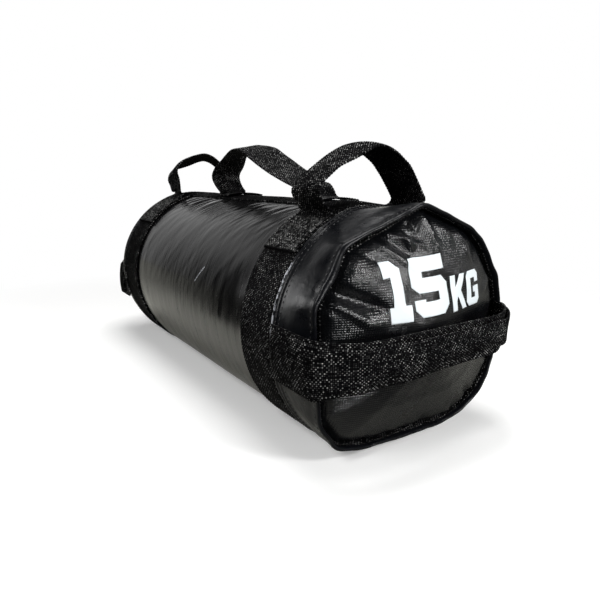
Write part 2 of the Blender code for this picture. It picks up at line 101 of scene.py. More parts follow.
# The end panel: (share of its radius, distance in front of the rim in mm), then its flange
PANEL_PROFILE = (
    (0.0, 25.5), (0.2, 23.8), (0.4, 18.2), (0.6, 10.6), (0.8, 2.6), (0.92, -2.6), (0.97, -6.5), (1.0, -11.0),
    (1.02, -13.0),
)
# Folds of the panels: (y, height, y, height, half width, lift), in millimetres. The last one is the broad
# strip that is pressed in behind the strap.
PANEL_FOLDS = (
    (-84, 70, -50, 53, 12.0, 3.0), (-90, 51, -46, 34, 5.2, -7.0), (-88, 42.5, -56, 22, 4.0, 2.6),
    (-96, 11, -66, -9, 4.0, 3.2), (-64, 79, -34, 64, 2.4, -1.8), (-50, 87, -13, 62, 3.6, 2.8),
    (-42, 91, -14, 72, 2.2, -2.0), (-34, 92, -2, 79, 3.0, 2.6), (-24, 93, -6, 84, 2.2, -1.6),
    (-22, 94, -14, 77, 2.6, 2.6), (-12, 97, -8, 85, 2.2, -2.2), (-2, 100, -11, 87, 2.8, 2.4),
    (4, 106, 17, 76, 1.8, 2.0), (12, 102, 24, 80, 6.0, -1.8), (46, 92, 60, 62, 5.0, 1.6),
    (72, 74, 66, 58, 5.0, -1.6), (92, 46, 76, 30, 5.0, 1.6), (-92, -40, -70, -30, 4.0, 0.8),
    (-52, -86, -42, -66, 4.5, -0.8), (-22, -90, -16, -70, 4.5, 1.4), (18, -90, 14, -70, 4.5, -1.4),
    (50, -86, 42, -66, 4.5, 1.6), (80, -70, 62, -54, 4.0, -1.8), (98, -40, 76, -30, 4.5, 1.6),
    (-72, 10, 110, 10, 9.0, -2.6),
)
# How far the panel's seam lies inside the rim, and what the deep crevice at the left adds, which reaches so
# many degrees to each side of its middle
PANEL_INSET = 5.0 * MM
CREVICE_INSET = 5.0 * MM
CREVICE_MIDDLE, CREVICE_REACH = -62.0, 75.0

# Plan of the strap and the grip over one corner of an end, as in the frame: shares of their face and radius
STRAP_CORNER_SHARES = (
    (-0.212, 1.000), (0.000, 1.000), (0.212, 0.979), (0.424, 0.930), (0.636, 0.858),
    (0.813, 0.773), (0.940, 0.674), (0.993, 0.557), (1.000, 0.404), (1.000, 0.225),
)
GRIP_CORNER_SHARES = (
    (-0.149, 1.000), (0.025, 1.000), (0.198, 0.973), (0.371, 0.920), (0.545, 0.845),
    (0.705, 0.757), (0.842, 0.660), (0.923, 0.546), (0.980, 0.396), (1.000, 0.220),
)
# Widths of the strap, and heights of its middle over the axis, at the bag's side and on its end face
SIDE_WIDTH, FACE_WIDTH = 49.0 * MM, 37.0 * MM
SIDE_HEIGHT, FACE_HEIGHT = -6.5 * MM, -2.0 * MM
# How far the lower edges of the front strap and of its grip rise over the face and at its right corner
STRAP_RISES, GRIP_RISES = 2.2 * MM, 9.0 * MM
STRAP_CORNER_RISE, GRIP_CORNER_RISE = 8.5 * MM, 12.0 * MM
RIGHT_END_IN = 4.0 * MM
# The rear strap droops from the ring on, is drawn in and tilts
REAR_SIDE_HEIGHT = -17.0 * MM
REAR_DROOP_REACH = 30.0 * MM
REAR_DRAWN_IN = 6.5 * MM
REAR_TILT = 8.0 * MM
# The grip against the strap: how much narrower and lower it is, its lap onto the collar and its cupped edges
GRIP_NARROWER = 6.0 * MM
GRIP_LOWER = 1.2 * MM
GRIP_LAP = 18.0 * MM
GRIP_CUP = 6.5 * MM
CUP_CURVE = 1.3
CUP_SHARES = (0.76, 0.54)

# The loops across the rings: (across, height above the axis) of their two edges in millimetres, from the left
# foot to the right one
CROSS_WIDTH = 48.0 * MM
TAIL_END_ANGLE = 50.0
TAIL_STEPS = 6
TURN_RADIUS = 2.5 * MM
TURN_STEPS = 3
TURN_ANGLE = 130.0
FRONT_LOOP_OUTER_EDGE = (
    (-57, 112.5), (-60.5, 118), (-62, 123.5), (-59, 128.5), (-51.5, 134.6), (-41, 142.2), (-32.5, 145.8),
    (-22, 149.8), (-10, 155.3), (3.5, 160.2), (13, 159.0), (23, 155), (33, 148.3), (40, 143.1), (50.6, 129),
    (58, 118), (61, 113.4), (59, 109.5),
)
FRONT_LOOP_INNER_EDGE = (
    (-51, 111.5), (-56, 116.5), (-57.5, 122), (-53, 129.5), (-40, 139), (-22, 151), (-10, 157.5), (3, 162.4),
    (13, 161.8), (25, 154), (35.5, 147.3), (42.5, 140.2), (49.2, 132.5), (60.5, 117), (63, 112), (60, 107.5),
)
REAR_LOOP_OUTER_EDGE = (
    (-36, 113), (-38.5, 121), (-41.3, 129.5), (-38.4, 138), (-32, 143.5), (-21.3, 146.6), (-8.6, 150.4),
    (5.9, 155.8), (17.2, 157.2), (30, 151.6), (40, 142), (48, 131), (52, 121), (51, 114), (47, 110.5),
)
REAR_LOOP_INNER_EDGE = (
    (-42, 114), (-42.5, 122), (-43.5, 132), (-45.5, 140), (-44, 147), (-38.4, 153.8), (-29, 159),
    (-12.5, 164.0), (-1.9, 165.0), (8.6, 161.4), (17.7, 154.7), (27, 146), (37, 135), (47, 123), (50, 115),
    (47, 110.5),
)
# Angles from the top at which each loop turns up from the ring: left outer edge, left inner edge, right foot
FRONT_FEET = (26.0, 26.0, 28.0)
REAR_FEET = (17.0, 20.5, 24.0)
CROSS_LOOPS = {
    1: (FRONT_LOOP_OUTER_EDGE, FRONT_LOOP_INNER_EDGE, FRONT_FEET),
    -1: (REAR_LOOP_OUTER_EDGE, REAR_LOOP_INNER_EDGE, REAR_FEET),
}
# The loops' crown is bowed across, from these heights above their tails
LOOP_BOW = 2.5 * MM
BOW_HEIGHTS = (25.0 * MM, 40.0 * MM)
# The long loop: (x from the front rim, height above the axis) of its two edges in millimetres, from its rear
# foot
TOP_LEFT_EDGE = (
    (-330, 118.6), (-339, 124.5), (-345.5, 131), (-346, 136.5), (-340, 142.5), (-332, 147.5), (-317, 153.5),
    (-304, 159.5), (-290, 164.6), (-275, 165.2), (-262, 161.5), (-245, 154.6), (-222, 145.4), (-198, 136.9),
    (-170, 128.6), (-151, 123.5), (-138, 118), (-130, 113.5), (-124, 111.6),
)
TOP_RIGHT_EDGE = (
    (-352, 118), (-358, 123), (-362, 128), (-364, 134), (-360.5, 139.5), (-354, 144.5), (-348.5, 150),
    (-344, 157), (-338, 164.5), (-329, 170.5), (-316, 172.8), (-302, 172), (-282, 170), (-263, 166.4),
    (-245, 158.8), (-227, 151.6), (-210, 144.4), (-180, 133), (-164, 128), (-155, 126), (-148, 120),
    (-144, 114.5), (-133, 111.2),
)
TOP_LEFT_FOOT, TOP_RIGHT_FOOT = -322, -345
TOP_TAIL_ENDS = (-300, -107)
TOP_TAIL_LENGTH = 24.0 * MM
TOP_WIDTH = 48.0 * MM

# Weave of the webbing: its yarns' pitch across and along, and how far they rise and fall
WEAVE_ACROSS = 1.7 * MM
WEAVE_ALONG = 1.6 * MM
WEAVE_RELIEF = 0.24 * MM

TINY = 1e-9
SLIP = 1e-6


def ease(value, start=0.0, stop=1.0):
    """0 at the start and 1 at the stop, with level ends."""
    held = min(max((value - start) / (stop - start), 0.0), 1.0)
    return held * held * (3 - 2 * held)


def hump(value, middle, reach):
    """1 at the middle, which eases to 0 at the reach on both sides."""
    return ease(abs(value - middle), reach, 0.0)


def blended(first, second, share):
    """The value that lies that share of the way from first to second."""
    return first + (second - first) * share


def signed(angle):
    """The same angle, between a half turn to the left and a half turn to the right of the top."""
    return (angle + math.pi) % math.tau - math.pi


def settled(height):
    """A height above the axis, held up softly by the floor."""
    over = height + AXIS
    return (over + math.hypot(over, FLOOR_SOFTNESS)) / 2 - AXIS


def around(x, angle, radius):
    """A point by its place along the bag, its angle from the top towards +Y and its radius."""
    return Vector((x, radius * math.sin(angle), AXIS + settled(radius * math.cos(angle))))


def ripple(x, y, z):
    """Smooth noise from -1 to 1."""
    return noise.noise(Vector((x, y, z)))


def ripple_round(angle, fineness, layer):
    """Smooth noise from -1 to 1 that closes once round the bag; each layer has its own."""
    return ripple(math.sin(angle) * fineness, math.cos(angle) * fineness, layer)


class Path:
    """A smooth line through points, read at shares of its length."""

    def __init__(self, points, samples=8):
        spots = [Vector(point) for point in points]
        self.spots = []
        for index in range(len(spots) - 1):
            before, first, second = spots[max(index - 1, 0)], spots[index], spots[index + 1]
            after = spots[min(index + 2, len(spots) - 1)]
            for step in range(samples):
                self.spots.append(self.between(before, first, second, after, step / samples))
        self.spots.append(spots[-1])
        self.reach = [0.0]
        for first, second in zip(self.spots, self.spots[1:]):
            self.reach.append(self.reach[-1] + (second - first).length)
        self.length = self.reach[-1]

    @staticmethod
    def between(before, first, second, after, share):
        """A point of the cubic from first to second, whose slopes suit the spans on each side."""
        span = (second - first).length
        out = (second - before) * span / (span + (first - before).length)
        into = (after - first) * span / (span + (after - second).length)
        cube, square = share ** 3, share ** 2
        return (
            (2 * cube - 3 * square + 1) * first + (cube - 2 * square + share) * out
            + (3 * square - 2 * cube) * second + (cube - square) * into
        )

    def at(self, share):
        """The point at that share of the length."""
        goal = min(max(share, 0.0), 1.0) * self.length
        low, high = 0, len(self.reach) - 1
        while high - low > 1:
            middle = (low + high) // 2
            if self.reach[middle] <= goal:
                low = middle
            else:
                high = middle
        part = (goal - self.reach[low]) / max(self.reach[high] - self.reach[low], TINY)
        return self.spots[low].lerp(self.spots[high], part)


def polygon_radius(outline, angle):
    """Where a ray from the axis, at that angle from the top towards +Y, meets an outline."""
    ray = Vector((math.sin(angle), math.cos(angle)))
    for first, second in zip(outline, outline[1:] + outline[:1]):
        start, run = Vector(first), Vector(second) - Vector(first)
        turn = ray.x * run.y - ray.y * run.x
        if abs(turn) < TINY:
            continue
        reach = (start.x * run.y - start.y * run.x) / turn
        share = (start.x * ray.y - start.y * ray.x) / turn
        if reach > 0 and -SLIP <= share <= 1 + SLIP:
            return reach * MM
    return RADIUS


def make_rim_table(outline):
    """A rim's radius at each half degree, with its corners a little rounded."""
    steps = range(RIM_TABLE_STEPS)
    sharp = [polygon_radius(outline, math.tau * step / RIM_TABLE_STEPS) for step in steps]
    window = round(RIM_ROUNDING * RIM_TABLE_STEPS / 360)
    shifts = range(-window, window + 1)
    return [sum(sharp[(step + shift) % RIM_TABLE_STEPS] for shift in shifts) / len(shifts) for step in steps]


RIM_TABLES = {1: make_rim_table(FRONT_RIM_OUTLINE), -1: make_rim_table(REAR_RIM_OUTLINE)}


def rim_radius(end, angle):
    """The rim's radius at an angle from the top towards +Y, at the front end (1) or the rear end (-1)."""
    place = (angle / math.tau % 1.0) * RIM_TABLE_STEPS
    step = int(place)
    table = RIM_TABLES[end]
    return blended(table[step % RIM_TABLE_STEPS], table[(step + 1) % RIM_TABLE_STEPS], place - step)


def turn_out(mesh, outward):
    """Turns all faces the same way, and out where the furthest one on that side shows them turned in."""
    mesh.normal_update()
    bmesh.ops.recalc_face_normals(mesh, faces=mesh.faces)
    furthest = max(mesh.faces, key=lambda face: face.calc_center_median().dot(outward))
    if furthest.normal.dot(outward) < 0:
        bmesh.ops.reverse_faces(mesh, faces=mesh.faces)


def sheet(name, columns, rows, place, finish, size=(1.0, 1.0), weld=0.0, outward=None):
    """A grid laid out by place(u, v), with u and v from 0 to 1, and a UV map of the given size in metres.

    Points nearer than the weld are merged. Outward is the side to which a closed sheet is turned.
    """
    mesh = bmesh.new()
    bmesh.ops.create_grid(mesh, x_segments=columns, y_segments=rows, size=0.5)
    layer = mesh.loops.layers.uv.new("UVMap")
    for face in mesh.faces:
        for loop in face.loops:
            loop[layer].uv = ((loop.vert.co.x + 0.5) * size[0], (loop.vert.co.y + 0.5) * size[1])
    for vert in mesh.verts:
        vert.co = place(vert.co.x + 0.5, vert.co.y + 0.5)
    if weld:
        bmesh.ops.remove_doubles(mesh, verts=mesh.verts, dist=weld)
    if outward is not None:
        turn_out(mesh, outward)
    return as_piece(name, mesh, finish)


def as_piece(name, mesh, finish):
    """Turns a bmesh into a smooth object at the origin with that material."""
    for face in mesh.faces:
        face.smooth = True
    data = bpy.data.meshes.new(name)
    mesh.to_mesh(data)
    mesh.free()
    data.materials.append(finish)
    piece = bpy.data.objects.new(name, data)
    bpy.context.scene.collection.objects.link(piece)
    return piece


def thicken(piece, thickness, offset):
    """Gives a sheet its thickness: offset 0 to both sides, -1 to the inside."""
    solid = piece.modifiers.new("thickness", "SOLIDIFY")
    solid.thickness = thickness
    solid.offset = offset
    return piece


def webbing(name, width, length, middle, finish, closed=False):
    """Woven webbing, whose yarns rise and fall from middle(u, v), with u across and v along."""
    columns = 2 * round(width / WEAVE_ACROSS / 2)
    rows = 2 * round(length / WEAVE_ALONG / 2)
    step_u, step_v = 0.5 / columns, 0.5 / rows

    def place(u, v):
        column, row = round(u * columns), round(v * rows)
        if closed:
            row %= rows
        spot = middle(u, v)
        along = middle(u, v + step_v) - middle(u, v - step_v)
        across = middle(u + step_u, v) - middle(u - step_u, v)
        normal = across.cross(along)
        lift = WEAVE_RELIEF if (column + row) % 2 else -WEAVE_RELIEF
        if normal.length > 0:
            spot = spot + normal.normalized() * lift
        return spot

    weld = WEAVE_ACROSS / 10 if closed else 0.0
    piece = sheet(name, columns, rows, place, finish, size=(width, length), weld=weld)
    return thicken(piece, WEBBING - 2 * WEAVE_RELIEF, 0.0)


# Finishes
VINYL_IOR, POLYPROPYLENE_IOR, PLAIN_IOR = 1.53, 1.49, 1.5
VINYL_GRAIN = 1.11 * MM
STREAKS_FINER = 1.7
SCUFF_FLECKS, SCRATCH_FLECKS = 3.85 * MM, 1.43 * MM
PANEL_CREASES, PANEL_MARKS = 10.53 * MM, 33.33 * MM
# Sizes of the webbing's fibres and of the patches over which its painted glints grow stronger; how rare its
# bright painted glints are
WEBBING_FIBRE, WEBBING_PATCHES = 0.45 * MM, 22.22 * MM
GLINT_RARITY = 2.2
# Painted sheen on a sewn tail: how much paler it is painted, for the light its upward face catches, and over
# what length that starts; and its dark melted end, which is also painted shade where the tail's end steps down
SEWN_PAINTED_SHEEN = 0.085
SEWN_FADE = 3.0 * MM
MELTED_AND_SHADED_END = (1.4 * MM, 2.4 * MM)

# Worn flecks on the fold beside the front ring, from where there are none to where they are full
FOLD_WEAR_REAR = (RING_FRONT + 0.4 * MM, RING_FRONT + 1.0 * MM)
FOLD_WEAR_FRONT = (RING_FRONT + 4.0 * MM, RING_FRONT + 2.8 * MM)
FOLD_WEAR_LOW = (0.100, 0.118)
FOLD_WEAR_HIGH = (0.166, 0.158)
FOLD_WEAR_NEAR = (-0.04, -0.06)
# The scratch on the cover
SCRATCH_MIDDLE = (0.0474, -0.1041, 0.1295)
SCRATCH_HALF_RUN = (8.6 * MM, 3.0 * MM, 9.3 * MM)
SCRATCH_HALF_WIDTH = 0.95 * MM


def linear(code):
    """A hex colour in sRGB as linear RGBA."""
    parts = [int(code[index:index + 2], 16) / 255 for index in (1, 3, 5)]
    return tuple(p / 12.92 if p <= 0.04045 else ((p + 0.055) / 1.055) ** 2.4 for p in parts) + (1.0,)


def new_tree(name):
    """An empty material and its node tree."""
    made = bpy.data.materials.new(name)
    made.use_nodes = True
    made.node_tree.nodes.clear()
    return made, made.node_tree


def add_node(tree, kind, inputs, give=0, **settings):
    """Adds one node and gives one of its outputs. An input that is a socket is linked, or else is a value."""
    node = tree.nodes.new(kind)
    for key, value in settings.items():
        setattr(node, key, value)
    for key, value in inputs.items():
        if isinstance(value, bpy.types.NodeSocket):
            tree.links.new(value, node.inputs[key])
        else:
            node.inputs[key].default_value = value
    return node.outputs[give]


def finish_with(tree, shader, output="ShaderNodeOutputMaterial"):
    """Links a shader to the tree's output."""
    tree.links.new(shader, tree.nodes.new(output).inputs["Surface"])


def spots_of(tree, scale=(1.0, 1.0, 1.0)):
    """Object coordinates, stretched by the scale."""
    place = add_node(tree, "ShaderNodeTexCoord", {}, give="Object")
    return add_node(tree, "ShaderNodeMapping", {"Vector": place, "Scale": scale})


def axes_of(tree, kind="Object"):
    """The coordinates of that kind, one by one."""
    place = add_node(tree, "ShaderNodeTexCoord", {}, give=kind)
    return add_node(tree, "ShaderNodeSeparateXYZ", {"Vector": place}).node.outputs


def strength(tree, *spans):
    """How strong something is over the surface: the product of its spans.

    A span is a value and where it counts as 0 and as 1, or as the two levels that follow.
    """
    whole = None
    for value, start, stop, *levels in spans:
        low, high = levels or (0.0, 1.0)
        level = add_node(tree, "ShaderNodeMapRange", {
            "Value": value, "From Min": start, "From Max": stop, "To Min": low, "To Max": high}, clamp=True)
        if whole is not None:
            level = add_node(tree, "ShaderNodeMath", {0: whole, 1: level}, operation="MULTIPLY")
        whole = level
    return whole


def calendered_vinyl(name, colour, roughness, gloss, wrinkles, wrinkle_depth, wear):
    """PVC-coated cloth, rolled smooth: a broad soft sheen, broken by fine wrinkles and handling marks.

    The wrinkles are given by their size along each axis. The wear takes the tree and gives the strength of
    pale scuffs.
    """
    made, tree = new_tree(name)
    folds = add_node(tree, "ShaderNodeTexNoise", {
        "Vector": spots_of(tree, tuple(1 / size for size in wrinkles)), "Scale": 1.0, "Detail": 4.0,
        "Roughness": 0.55})
    grain = add_node(tree, "ShaderNodeTexNoise", {
        "Vector": spots_of(tree), "Scale": 1 / VINYL_GRAIN, "Detail": 2.0, "Roughness": 0.6})
    streaks = add_node(tree, "ShaderNodeTexNoise", {
        "Vector": spots_of(tree, tuple(STREAKS_FINER / size for size in wrinkles)), "Scale": 1.0,
        "Detail": 4.0, "Roughness": 0.6})
    folded = add_node(tree, "ShaderNodeBump", {"Height": folds, "Strength": 1.0, "Distance": wrinkle_depth})
    grained = add_node(tree, "ShaderNodeBump", {
        "Height": grain, "Strength": 0.35, "Distance": 0.05 * MM, "Normal": folded})
    shader = add_node(tree, "ShaderNodeBsdfPrincipled", {
        "Base Color": linear(colour), "Specular IOR Level": gloss, "Normal": grained, "IOR": VINYL_IOR,
        "Roughness": strength(tree, (streaks, 0.32, 0.68, roughness - 0.04, roughness + 0.10))})
    scuffed = add_node(tree, "ShaderNodeBsdfDiffuse", {"Color": linear("#B4B6BC")})
    finish_with(tree, add_node(tree, "ShaderNodeMixShader", {0: wear(tree), 1: shader, 2: scuffed}))
    return made


def fold_wear(tree):
    """Flecks where the coating has worn off the collar's folded edge, on the side that faces the camera."""
    axes = axes_of(tree)
    flecks = add_node(tree, "ShaderNodeTexNoise", {
        "Vector": spots_of(tree), "Scale": 1 / SCUFF_FLECKS, "Detail": 3.0, "Roughness": 0.6})
    return strength(
        tree, (axes["X"], *FOLD_WEAR_REAR), (axes["X"], *FOLD_WEAR_FRONT), (axes["Z"], *FOLD_WEAR_LOW),
        (axes["Z"], *FOLD_WEAR_HIGH), (axes["Y"], *FOLD_WEAR_NEAR), (flecks, 0.46, 0.54))


def cover_scratch(tree):
    """One short pale scratch on the side of the cover, broken into flecks."""
    run = Vector(SCRATCH_HALF_RUN)
    heading = run.normalized()
    place = add_node(tree, "ShaderNodeTexCoord", {}, give="Object")
    moved = add_node(tree, "ShaderNodeVectorMath", {0: place, 1: SCRATCH_MIDDLE}, operation="SUBTRACT")
    along = add_node(tree, "ShaderNodeVectorMath", {
        0: moved, 1: heading}, give="Value", operation="DOT_PRODUCT")
    foot = add_node(tree, "ShaderNodeVectorMath", {0: heading, "Scale": along}, operation="SCALE")
    aside = add_node(tree, "ShaderNodeVectorMath", {0: moved, 1: foot}, give="Value", operation="DISTANCE")
    reach = add_node(tree, "ShaderNodeMath", {0: along}, operation="ABSOLUTE")
    flecks = add_node(tree, "ShaderNodeTexNoise", {
        "Vector": spots_of(tree), "Scale": 1 / SCRATCH_FLECKS, "Detail": 3.0, "Roughness": 0.6})
    return strength(
        tree, (reach, run.length, 0.8 * run.length), (aside, SCRATCH_HALF_WIDTH, 0.4 * SCRATCH_HALF_WIDTH),
        (flecks, 0.30, 0.46))


def scrim_vinyl(name, colour, roughness, pitch):
    """PVC-coated cloth whose woven backing shows as a fine square grid; the pitch is its thread spacing."""
    made, tree = new_tree(name)
    axes = axes_of(tree)
    threads = []
    for axis in ("Y", "Z"):
        turns = add_node(tree, "ShaderNodeMath", {0: axes[axis], 1: math.tau / pitch}, operation="MULTIPLY")
        wave = add_node(tree, "ShaderNodeMath", {0: turns}, operation="COSINE")
        threads.append(strength(tree, (wave, -1.0, 0.6)))
    grid = add_node(tree, "ShaderNodeMath", {0: threads[0], 1: threads[1]}, operation="MINIMUM")
    creases = add_node(tree, "ShaderNodeTexNoise", {
        "Vector": spots_of(tree), "Scale": 1 / PANEL_CREASES, "Detail": 4.0, "Roughness": 0.6})
    marks = add_node(tree, "ShaderNodeTexNoise", {
        "Vector": spots_of(tree), "Scale": 1 / PANEL_MARKS, "Detail": 4.0, "Roughness": 0.65})
    creased = add_node(tree, "ShaderNodeBump", {"Height": creases, "Strength": 1.0, "Distance": 0.9 * MM})
    pressed = add_node(tree, "ShaderNodeBump", {
        "Height": grid, "Strength": 0.9, "Distance": 0.17 * MM, "Normal": creased})
    finish_with(tree, add_node(tree, "ShaderNodeBsdfPrincipled", {
        "Base Color": linear(colour), "Specular IOR Level": 0.5, "Normal": pressed, "IOR": VINYL_IOR,
        "Roughness": strength(tree, (marks, 0.35, 0.65, roughness - 0.05, roughness + 0.07))}))
    return made


def polypropylene_webbing(name, colour, painted_glint_colour, roughness, half=0.0, tail=0.0):
    """Heavy woven polypropylene webbing: dull black, with painted glints, a pale base colour on the raised
    crossings that stands in for the highlights of their single slick yarns.

    A strap of that half length whose tails are sewn down gets a painted sheen there, paler, and dark ends,
    which are melted ends and also painted shade where each tail's end steps down.
    """
    made, tree = new_tree(name)
    place = add_node(tree, "ShaderNodeUVMap", {}, uv_map="UVMap")
    middle = (0.5, 0.5, 0.0)
    crossings = add_node(tree, "ShaderNodeVectorMath", {
        0: place, 1: (1 / WEAVE_ACROSS, 1 / WEAVE_ALONG, 0.0), 2: middle}, operation="MULTIPLY_ADD")
    crossing = add_node(tree, "ShaderNodeVectorMath", {0: crossings}, operation="FLOOR")
    within = add_node(tree, "ShaderNodeVectorMath", {0: crossings, 1: crossing}, operation="SUBTRACT")
    away = add_node(tree, "ShaderNodeVectorMath", {0: within, 1: middle}, give="Value", operation="DISTANCE")
    half_sum = add_node(tree, "ShaderNodeVectorMath", {
        0: crossing, 1: middle}, give="Value", operation="DOT_PRODUCT")
    parity = add_node(tree, "ShaderNodeMath", {0: half_sum}, operation="FRACT")
    chance = add_node(tree, "ShaderNodeTexWhiteNoise", {"Vector": crossing}, noise_dimensions="2D")
    rare = add_node(tree, "ShaderNodeMath", {0: chance, 1: GLINT_RARITY}, operation="POWER")
    # Painted glints: the raised crossings get a pale base colour that stands in for their yarns' highlights
    painted_glint = strength(tree, (rare, 0.0, 1.0), (parity, 0.0, 0.5, 0.1, 1.0), (away, 0.42, 0.10))
    fibres = add_node(tree, "ShaderNodeTexNoise", {
        "Vector": place, "Scale": 1 / WEBBING_FIBRE, "Detail": 1.0, "Roughness": 0.5})
    painted_glint_patches = add_node(tree, "ShaderNodeTexNoise", {
        "Vector": spots_of(tree), "Scale": 1 / WEBBING_PATCHES, "Detail": 3.0, "Roughness": 0.6})
    share = strength(tree, (painted_glint, 0.0, 1.0), (painted_glint_patches, 0.35, 0.65, 0.2, 1.0))
    if tail:
        along = add_node(tree, "ShaderNodeSeparateXYZ", {"Vector": place}, give="Y")
        offset = add_node(tree, "ShaderNodeMath", {0: along, 1: half}, operation="SUBTRACT")
        reach = add_node(tree, "ShaderNodeMath", {0: offset}, operation="ABSOLUTE")
        # Painted sheen: sewn tails are painted paler, for the light their upward faces catch
        painted_tail_sheen = strength(
            tree, (reach, half - tail, half - tail + SEWN_FADE, 0.0, SEWN_PAINTED_SHEEN), (rare, 0.0, 1.0))
        with_painted_sheen = add_node(tree, "ShaderNodeMath", {0: share, 1: painted_tail_sheen}, operation="ADD")
        # Dark ends: the painted glints and sheen fade out at the melted ends, which also stands in for the
        # shade where each tail's end steps down
        share = strength(tree, (with_painted_sheen, 0.0, 1.0), (reach, half - MELTED_AND_SHADED_END[0], half - MELTED_AND_SHADED_END[1]))
    # Mixes the painted glints and the painted sheen into the base colour
    painted_glint_mix = add_node(tree, "ShaderNodeMix", {
        0: share, 6: linear(colour), 7: linear(painted_glint_colour)}, give=2, data_type="RGBA")
    rough = add_node(tree, "ShaderNodeBump", {"Height": fibres, "Strength": 0.6, "Distance": 0.12 * MM})
    finish_with(tree, add_node(tree, "ShaderNodeBsdfPrincipled", {
        "Base Color": painted_glint_mix, "Specular IOR Level": 0.015, "Normal": rough, "IOR": POLYPROPYLENE_IOR,
        "Roughness": strength(tree, (painted_glint, 0.0, 0.6, roughness, roughness - 0.2))}))
    return made


def plain_finish(name, colour, roughness, grain_size, grain_depth):
    """A dull finish with an even grain, for thread, ink, liner cloth and grains."""
    made, tree = new_tree(name)
    grain = add_node(tree, "ShaderNodeTexNoise", {
        "Vector": spots_of(tree), "Scale": 1 / grain_size, "Detail": 2.0, "Roughness": 0.6})
    grained = add_node(tree, "ShaderNodeBump", {"Height": grain, "Strength": 0.6, "Distance": grain_depth})
    finish_with(tree, add_node(tree, "ShaderNodeBsdfPrincipled", {
        "Base Color": linear(colour), "Normal": grained, "IOR": PLAIN_IOR,
        "Roughness": strength(tree, (grain, 0.3, 0.7, roughness - 0.05, roughness + 0.05))}))
    return made


BODY_VINYL = calendered_vinyl(
    "calendered_vinyl", "#070708", 0.19, 0.46, (12.5 * MM, 125 * MM, 125 * MM), 0.35 * MM, cover_scratch)
COLLAR_VINYL = calendered_vinyl(
    "collar_vinyl", "#0A0B0E", 0.28, 0.14, (22.22 * MM, 22.22 * MM, 22.22 * MM), 1.1 * MM, fold_wear)
PANEL_VINYL = scrim_vinyl("scrim_vinyl", "#090A0C", 0.22, 1.9 * MM)
# The webbing's base colour, the pale colour of its painted glints, and its roughness
WEBBING_LOOK = ("#040405", "#D2D2D0", 0.7)
WEBBING_FINISH = polypropylene_webbing("polypropylene_webbing", *WEBBING_LOOK)
THREAD = plain_finish("bonded_nylon_thread", "#1A1A1C", 0.45, 0.5 * MM, 0.05 * MM)
INK = plain_finish("screen_ink", "#DEE5E8", 0.55, 2.2 * MM, 0.05 * MM)
LINER = plain_finish("woven_liner", "#82827C", 0.85, 0.8 * MM, 0.1 * MM)
GRAINS = plain_finish("packed_grains", "#957F66", 0.9, 2.0 * MM, 0.5 * MM)


# Body: its swells, its fine wrinkles and the creases beside the crest, with their depth, their number to the
# metre along the bag and how fine they are round it. Places round the bag are in degrees from the top, from
# where nothing shows to where all does.
BODY_COLUMNS, BODY_ROWS = 170, 300
BODY_WELD = 0.1 * MM
SWELL, SWELLS_PER_METRE, SWELLS_ROUND = 0.5 * MM, 11, 1.4
SWELL_REACH = 26.0 * MM
FINE_WRINKLE, WRINKLES_PER_METRE, WRINKLES_ROUND = 0.20 * MM, 95, 0.9
CREST_CREASE, CREASES_PER_METRE, CREASES_ROUND = 1.9 * MM, 85, 1.3
CREASE_GROUND = 0.35
CREST_SKEW = 0.077
CREASES_BELOW, CREASES_ABOVE = (46.0, 24.0), (11.0, 16.0)
WRINKLES_BELOW = (100.0, 40.0)
COVER_UNDER = 0.25 * MM
RING_PRESSES = 4.0 * MM
REAR_NARROWER = 2.6 * MM
REAR_NARROWS = (-100.0 * MM, -180.0 * MM)
REAR_NARROW_MIDDLE, REAR_NARROW_REACH = 118.0, 45.0


def rear_narrowing(x, angle):
    """How far the rear end of the bag is narrower low on both sides."""
    side = abs(math.degrees(signed(angle)))
    return REAR_NARROWER * ease(x, *REAR_NARROWS) * hump(side, REAR_NARROW_MIDDLE, REAR_NARROW_REACH)


def body_radius(x, angle):
    """The cover's surface: held in by the rings and the crest strip, with wrinkles that run round the bag."""
    free = ease(RING_REAR - abs(x), 0.0, SWELL_REACH)
    side = abs(math.degrees(signed(angle)))
    skewed = x + CREST_SKEW * math.radians(side)
    right, up = math.sin(angle), math.cos(angle)
    wide = ripple(x * SWELLS_PER_METRE, right * SWELLS_ROUND, up * SWELLS_ROUND)
    fine = ripple(skewed * WRINKLES_PER_METRE, right * WRINKLES_ROUND, up * WRINKLES_ROUND + 5)
    deep = ripple(skewed * CREASES_PER_METRE, signed(angle) * CREASES_ROUND, 9.0)
    creased = ease(side, *CREASES_BELOW) * ease(side, *CREASES_ABOVE)
    lift = (
        SWELL * (0.3 + 0.7 * wide) + FINE_WRINKLE * fine * (0.5 + 0.5 * ease(side, *WRINKLES_BELOW))
        + CREST_CREASE * creased * (abs(deep) - CREASE_GROUND)
    )
    return RADIUS - COVER_UNDER + free * lift - rear_narrowing(x, angle)


def build_cover():
    """The tube of vinyl between the rings."""

    def place(u, v):
        x = blended(-RING_MIDDLE, RING_MIDDLE, u)
        angle = math.tau * v
        spot = around(x, angle, body_radius(x, angle))
        under_ring = ease(abs(x), RING_REAR - RING_PRESSES, RING_REAR)
        spot.z = max(spot.z, under_ring * (WEBBING + LAYER_GAP))
        return spot

    cover = sheet("cover_skin", BODY_COLUMNS, BODY_ROWS, place, BODY_VINYL,
                  size=(2 * RING_MIDDLE, math.tau * RADIUS), weld=BODY_WELD)
    thicken(cover, SKIN, -1.0)
    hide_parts("cover_tube")
    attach(cover, "bag")


